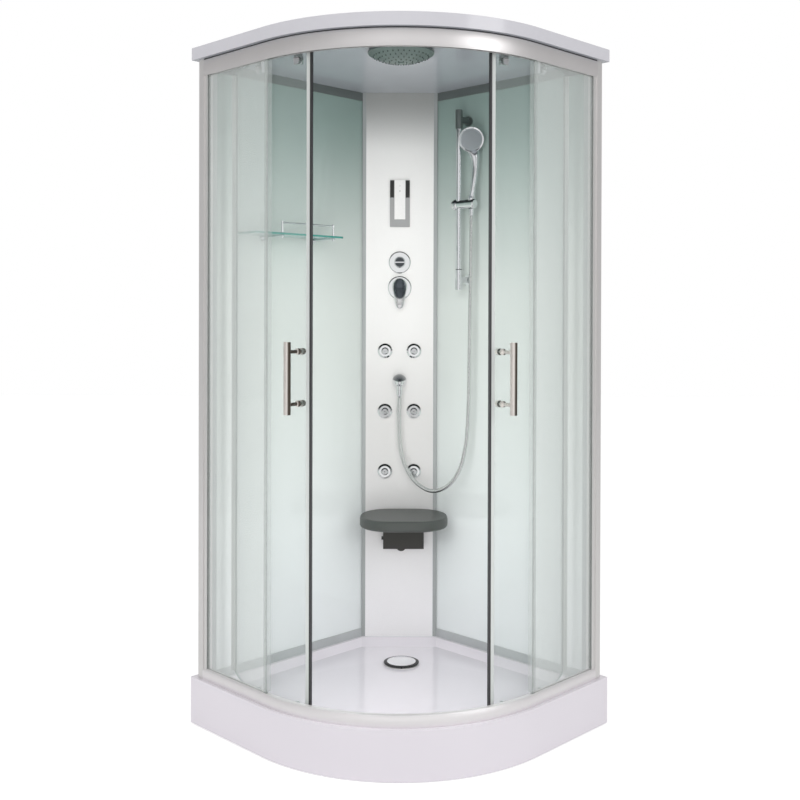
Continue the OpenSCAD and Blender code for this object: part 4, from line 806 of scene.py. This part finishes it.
whole = hose_line()
cut = next(i for i, p in enumerate(whole) if p.z > CUT_Z and i > len(whole) // 2)
hose_low, low_len = hose_part("hose_main", whole[:cut + 1], first_plain=PLAIN_END, last_plain=0.0)
hose_top, top_len = hose_part("hose_upper", whole[cut:], first_plain=0.0, last_plain=PLAIN_END)
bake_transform(hose_low)
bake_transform(hose_top)


# Mixer lever: a broad domed head that narrows to a thick rounded tip

LEVER_HEAD_Z = 1.345
HEAD_R = 0.028
TIP_R = 0.014
HEAD_TO_TIP = 0.065
HALF_AT_HEAD = 0.0277
HALF_AT_TIP = 0.0135
STRAIGHT_BELOW = -0.010
TIP_DEPTH = 0.0165
# How far the face lies back at the tip, and at the top of the head
TIP_BACK = 0.0085
HEAD_BACK = 0.004
LEVER_HEIGHTS = [0.0276, 0.0262, 0.022, 0.014, 0.004, -0.008, -0.020, -0.032, -0.043, -0.054, -0.064,
                 -0.071, -0.0762, -0.0786]


def lever_half_width(h, run):
    """Half width at a height from the middle of the head, run of the way to the tip."""
    if h > 0:
        return math.sqrt(HEAD_R ** 2 - h ** 2)
    straight = HALF_AT_HEAD - (HALF_AT_HEAD - HALF_AT_TIP) * run
    if h > STRAIGHT_BELOW:
        return max(straight, math.sqrt(HEAD_R ** 2 - h ** 2))
    if h < -HEAD_TO_TIP:
        return min(straight, math.sqrt(TIP_R ** 2 - (h + HEAD_TO_TIP) ** 2))
    return straight


def drawn_in(section):
    """End section, smaller for a round closing."""
    x, y, z, wide, deep = section
    return (x, y, z, wide * 0.8, deep * 0.5)


def mixer_lever():
    low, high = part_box("mixer_lever")
    front = low.y + 0.0004
    back = high.y - 0.0002
    sections = []
    for h in LEVER_HEIGHTS:
        run = min(1.0, max(0.0, -h / HEAD_TO_TIP))
        face = front + TIP_BACK * run + HEAD_BACK * max(0.0, h) / HEAD_R
        rear = back - (back - front - TIP_DEPTH) * run ** 0.7
        sections.append((0, (face + rear) / 2, LEVER_HEAD_Z + h, lever_half_width(h, run),
                         (rear - face) / 2))
    sections[0] = drawn_in(sections[0])
    sections[-1] = drawn_in(sections[-1])
    lever = drawn_out("drop_lever", sections, corners=28, level=2)
    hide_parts("mixer_lever")
    seat_piece(lever, "mixer_lever", LEVER)


mixer_lever()


# Hand shower: curved grip, round head with a grey spray face

# Sections up the grip: shift across, shift in depth, height, half width, half depth
GRIP_FORM = [
    (0, 0, -0.016, 0.0095, 0.0095), (0, 0, 0.016, 0.012, 0.012), (0, 0, 0.0165, 0.0132, 0.0132),
    (0, 0, 0.0205, 0.0132, 0.0132), (0, 0, 0.022, 0.0112, 0.0112),
    (0.002, -0.0015, 0.034, 0.0094, 0.0096), (0.004, -0.003, 0.046, 0.0088, 0.0092),
    (0.0065, -0.0025, 0.062, 0.0089, 0.0094), (0.009, -0.002, 0.080, 0.0096, 0.010),
    (0.0112, 0.0005, 0.100, 0.0108, 0.0108), (0.013, 0.003, 0.120, 0.0121, 0.0115),
    (0.0127, 0.0047, 0.136, 0.0132, 0.012), (0.012, 0.006, 0.150, 0.0146, 0.0124),
    (0.0095, 0.0065, 0.164, 0.0172, 0.0126), (0.006, 0.0085, 0.178, 0.021, 0.0118),
    (0.002, 0.011, 0.190, 0.024, 0.010), (0, 0.0125, 0.200, 0.022, 0.007),
]
HEAD_LEAN = math.radians(6)
LINER_DOWN = 0.0575
NUT_DOWN = 0.0272
# Rings of jets: radius and count
SPRAY_RINGS = ((0.0, 1), (0.008, 8), (0.015, 14), (0.022, 20), (0.029, 26))


def step_in(thickness, move):
    """Insets the selected faces and moves them."""
    bpy.ops.mesh.inset(thickness=thickness)
    bpy.ops.transform.translate(value=tuple(move))


def in_rings(rings, turn=0.0):
    """Radius and the two shifts of every spot in rings of (radius, count)."""
    for radius, count in rings:
        for k in range(count):
            angle = math.tau * (k + turn) / count
            yield radius, radius * math.cos(angle), radius * math.sin(angle)


def spray_head(middle, out):
    shell = turned_rod("spray_head", middle - out * 0.002, out, radius=0.042, length=0.017, corners=64)
    select_faces(shell, lambda c, n: n.dot(out) < -0.9)
    step_in(thickness=0.008, move=-out * 0.005)
    step_in(thickness=0.012, move=-out * 0.003)
    close_edit()
    select_faces(shell, lambda c, n: n.dot(out) > 0.9)
    step_in(thickness=0.0055, move=-out * 0.0012)
    close_edit()
    soften(shell, width=0.0016, segments=3, sharper_than=28)
    seat_piece(shell, "handset", CHROME)
    face = turned_rod("spray_plate", middle + out * 0.0056, out, radius=0.0362, length=0.0016,
                      corners=64, edge=0.0005)
    seat_piece(face, "handset", FACE_GREY)
    across = Vector((1, 0, 0))
    upward = out.cross(across)
    first = turned_rod("spray_jet", middle + out * 0.0068, out, radius=0.0011, length=0.0022,
                       corners=10, edge=0.0003)
    jets = [copy_of(first, Matrix.Translation(x * across + y * upward))
            for _, x, y in in_rings(SPRAY_RINGS)]
    bpy.data.objects.remove(first)
    seat_piece(gather("spray_jets", jets), "handset", BLACK_RUBBER)


def handset():
    base = Vector((GRIP_X, forward(GRIP_D), SLIDER_Z))
    sections = [(base.x + x, base.y + y, base.z + z, w, d) for x, y, z, w, d in GRIP_FORM]
    handle = drawn_out("hand_grip", sections, corners=24, level=1)
    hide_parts("handset")
    seat_piece(handle, "handset", CHROME)
    spray_head(base + Vector((-0.001, 0, 0.214)),
               Vector((0, -math.cos(HEAD_LEAN), -math.sin(HEAD_LEAN))))

    # Inner tube that slides out of the hose when the hand shower is lifted
    liner = turned_rod("hose_liner", base + Vector((0, 0, -LINER_DOWN)), UP, radius=0.0057,
                       length=0.041, corners=24)
    seat_piece(liner, "handset", HOSE_METAL)

    nut = turned_rod("hose_nut", base + Vector((0, 0, -NUT_DOWN)), UP, radius=0.0086, length=0.0215,
                     corners=32)
    select_faces(nut, lambda c, n: n.z < -0.9)
    step_in(thickness=0.0012, move=(0, 0, -0.0008))
    close_edit()
    soften(nut, width=0.0008, segments=2, sharper_than=28)
    seat_piece(nut, "handset", CHROME)


handset()


# Seat: rounded slab with a rear tab and its knuckles round the pin

SEAT_X = 0.015
SEAT_HALF = 0.147
SEAT_REACH = 0.226
SEAT_THICK = 0.035
SEAT_TOP = 0.572
SEAT_CORNER = 0.105
SEAT_EDGE = 0.009
DISH_RIM = 0.016
DISH_DEPTH = 0.0015
PIVOT_D = 0.204
EAR_X = 0.056
EAR_SLOT_HALF = 0.005
EAR_SLOT_TOP = 0.5672
REAR_ROOM_HALF = 0.072
REAR_ROOM_TOP = 0.5446
UNDER_SEAT = 0.53
# Slots and room end this far in front of the pin
SLOT_FRONT = 0.0122
ROOM_FRONT = 0.001
KNUCKLES = ((-0.070, -0.0612), (-0.0508, 0.0508), (0.0612, 0.070))


def seat_slab():
    slab = plain_block(
        "seat_slab", (SEAT_X - SEAT_HALF, forward(PIVOT_D + SEAT_REACH), SEAT_TOP - SEAT_THICK),
        (SEAT_X + SEAT_HALF, forward(PIVOT_D - 0.014), SEAT_TOP))
    select_edges(slab, lambda a, b: abs(a.z - b.z) > 0.02)
    bpy.ops.mesh.bevel(offset=SEAT_CORNER, segments=14, profile=0.5, affect="EDGES")
    close_edit()
    select_faces(slab, lambda c, n: abs(n.z) > 0.9)
    bpy.ops.mesh.region_to_loop()
    bpy.ops.mesh.bevel(offset=SEAT_EDGE, segments=5, profile=0.5, affect="EDGES")
    close_edit()
    select_faces(slab, lambda c, n: n.z > 0.999 and c.z > SEAT_TOP - 0.0005)
    step_in(thickness=DISH_RIM, move=(0, 0, -DISH_DEPTH))
    close_edit()
    return smooth_by_angle(slab, degrees=40)


def seat_knuckles():
    back = forward(PIVOT_D - 0.010)
    parts = [soft_block("seat_knuckle", (SEAT_X + x0, forward(PIVOT_D + 0.03), 0.5465),
                        (SEAT_X + x1, back, SEAT_TOP - 0.0025), edge=0.0035) for x0, x1 in KNUCKLES]
    return gather("seat_knuckles", parts)


def cut_away(piece, low, high):
    cutter = soft_block("cutter", low, high, edge=0.001, segments=1)
    finish_with(piece, "BOOLEAN", operation="DIFFERENCE", object=cutter, solver="EXACT")
    bpy.data.objects.remove(cutter)


def cut_ear_slots(slab):
    """Opens the two slots that the ears of the bracket stand in, and the room behind them."""
    behind = forward(PIVOT_D - 0.05)
    for ear in (SEAT_X - EAR_X, SEAT_X + EAR_X):
        cut_away(slab, (ear - EAR_SLOT_HALF, forward(PIVOT_D + SLOT_FRONT), UNDER_SEAT),
                 (ear + EAR_SLOT_HALF, behind, EAR_SLOT_TOP))
    cut_away(slab, (SEAT_X - REAR_ROOM_HALF, forward(PIVOT_D + ROOM_FRONT), UNDER_SEAT),
             (SEAT_X + REAR_ROOM_HALF, behind, REAR_ROOM_TOP))
    smooth_by_angle(slab, degrees=40)


def folding_seat():
    slab = seat_slab()
    knuckles = seat_knuckles()
    cut_ear_slots(slab)
    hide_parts("seat")
    seat_piece(slab, "seat", DARK_SEAT)
    seat_piece(knuckles, "seat", DARK_SEAT)


folding_seat()


# Head shower: rubber jets in rings, and a raised middle

ROSE_D = 0.778
ROSE_R = 0.097
ROSE_BULGE = 0.026
ROSE_RINGS = ((0.018, 8), (0.034, 14), (0.050, 20), (0.066, 26), (0.081, 32))


def rose_jets():
    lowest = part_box("rose")[0].z
    middle_y = forward(ROSE_D)
    sphere = (ROSE_R ** 2 + ROSE_BULGE ** 2) / (2 * ROSE_BULGE)
    first = turned_rod("rose_jet", (0, middle_y, 0), UP, radius=0.0017, length=0.005, corners=10,
                       edge=0.0005)
    jets = []
    for radius, x, y in in_rings(ROSE_RINGS, turn=0.5):
        z = lowest + sphere - math.sqrt(sphere ** 2 - radius ** 2) + 0.0003
        jets.append(copy_of(first, Matrix.Translation((x, y, z))))
    bpy.data.objects.remove(first)
    seat_piece(gather("rose_jets", jets), "cabin", JET_RUBBER)
    boss = turned_rod("rose_boss", (0, middle_y, lowest + 0.001), UP, radius=0.010, length=0.006,
                      corners=32, edge=0.0015)
    seat_piece(boss, "cabin", ROSE)


rose_jets()


# Soap dispenser: black ribbed grips on the arms, and the dots of the lever

GRIP_SIDES = ((-0.0342, -0.0202), (0.0202, 0.0342))
GRIP_LOW_Z = 1.654
GRIP_HIGH_Z = 1.7135
FIRST_RIB_Z = 1.660
RIB_PITCH = 0.006
RIB_HEIGHT = 0.0028
GRIP_RIBS = 9
# Dots on the lever: height and radius
LEVER_DOTS = ((1.677, 0.0016), (1.695, 0.0011))


def dispenser_details():
    parts = []
    for x0, x1 in GRIP_SIDES:
        parts.append(soft_block("dispenser_grip", (x0, FACE_Y - 0.0100, GRIP_LOW_Z),
                                (x1, FACE_Y - 0.0080, GRIP_HIGH_Z), edge=0.0006))
        for k in range(GRIP_RIBS):
            z = FIRST_RIB_Z + RIB_PITCH * k
            parts.append(soft_block("dispenser_rib", (x0 + 0.0015, FACE_Y - 0.0104, z),
                                    (x1 - 0.0015, FACE_Y - 0.0095, z + RIB_HEIGHT), edge=0.0003))
    seat_piece(gather("dispenser_grips", parts), "cabin", BLACK_INLAY)
    dots = [turned_rod("lever_dot", (0, FACE_Y - 0.0081, z), (0, 1, 0), radius=r, length=0.0008,
                       corners=20, edge=0.0002)
            for z, r in LEVER_DOTS]
    seat_piece(gather("lever_dots", dots), "soap_lever", BLACK_INLAY)


dispenser_details()


# Diverter: bright bar across the knob

def diverter_bar():
    low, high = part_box("diverter_knob")
    middle = (low.z + high.z) / 2
    half_length = 0.0165
    half_height = 0.0026
    bar = soft_block("diverter_bar", (-half_length, low.y + 0.0012, middle - half_height),
                     (half_length, low.y + 0.0034, middle + half_height), edge=0.0006)
    seat_piece(bar, "diverter_knob", CHROME)


diverter_bar()


# Hand shower rail: dark joint lines round its sleeves

def rail_rings():
    rings = [turned_rod("rail_ring", (RISER_X, forward(RISER_D), z), UP, radius=0.0103, length=0.0022,
                        corners=40, edge=0.0003)
             for z in (SLEEVE_LOW, SLEEVE_HIGH)]
    seat_piece(gather("rail_rings", rings), "cabin", BLACK_RUBBER)


rail_rings()


# Lamps, background and floor

BACKGROUND_LIGHT = 0.62
FLOOR_GLOW = 0.44


def lamp(name, place, aim, size, power):
    data = bpy.data.lights.new(name, "AREA")
    data.shape = "RECTANGLE"
    data.size, data.size_y = size
    data.energy = power
    thing = bpy.data.objects.new(name, data)
    scene.collection.objects.link(thing)
    thing.location = place
    thing.rotation_euler = (Vector(aim) - Vector(place)).to_track_quat("-Z", "Y").to_euler()
    return thing


def set_lamps():
    """Three large soft lamps round the cabin, and a weak one in the doorway for the column."""
    middle = (0, 0, 1.0)
    front = lamp("front_soft", (-1.2, -4.6, 2.4), middle, size=(2.6, 2.6), power=45)
    front.visible_glossy = False
    lamp("right_soft", (3.2, -2.6, 2.2), middle, size=(1.6, 2.6), power=32)
    side = lamp("left_soft", (-3.6, -0.6, 1.6), middle, size=(1.6, 2.6), power=16)
    side.visible_glossy = False
    inside = lamp("doorway_soft", (0, -0.49, 1.02), (0, 0.36, 0.96), size=(0.42, 1.5), power=4.3)
    inside.visible_camera = False
    inside.visible_glossy = False
    inside.visible_transmission = False


def background_rays(tree):
    """The kinds of ray, and one for rays that look at the background itself."""
    rays = add(tree, "ShaderNodeLightPath").outputs
    return rays, maths(tree, "MAXIMUM", rays["Is Camera Ray"], rays["Is Transmission Ray"])


def mixed_value(tree, factor, first, second):
    return add(tree, "ShaderNodeMix", {0: factor, 2: first, 3: second}, data_type="FLOAT").outputs[0]


def set_background():
    """White where it is seen; softer in light, and darker to the sides in what metal mirrors."""
    world = bpy.data.worlds.new("studio")
    scene.world = world
    world.use_nodes = True
    tree = world.node_tree
    rays, seen = background_rays(tree)
    sky = add(tree, "ShaderNodeNewGeometry")
    way = add(tree, "ShaderNodeSeparateXYZ", {0: sky.outputs["Position"]}).outputs
    aside = maths(tree, "ABSOLUTE", way["X"])
    side_level = spread(tree, aside, source=(0.25, 0.95), target=(0.92, 0.38))
    up_level = spread(tree, way["Z"], source=(0.1, 0.8), target=(1.0, 0.5))
    mirrored = maths(tree, "MULTIPLY", side_level, up_level)
    level = mixed_value(tree, rays["Is Glossy Ray"], BACKGROUND_LIGHT, mirrored)
    strength = mixed_value(tree, seen, level, 1.0)
    feed(tree, tree.nodes["Background"], {"Color": WHITE, "Strength": strength})


def set_floor():
    """White floor that keeps the shadow and otherwise meets the background."""
    clear_selection()
    bpy.ops.mesh.primitive_plane_add(size=24, location=(0, 0, 0))
    floor = settle(bpy.context.object, "studio_floor")
    paint, tree, shader = start_finish("studio_floor", {
        "Base Color": (0.92, 0.92, 0.92, 1), "Roughness": 0.7, "Emission Color": WHITE})
    seen = background_rays(tree)[1]
    feed(tree, shader, {"Emission Strength": maths(tree, "MULTIPLY", seen, FLOOR_GLOW)})
    floor.data.materials.append(paint)


set_lamps()
set_background()
set_floor()
scene.view_settings.view_transform = "Standard"
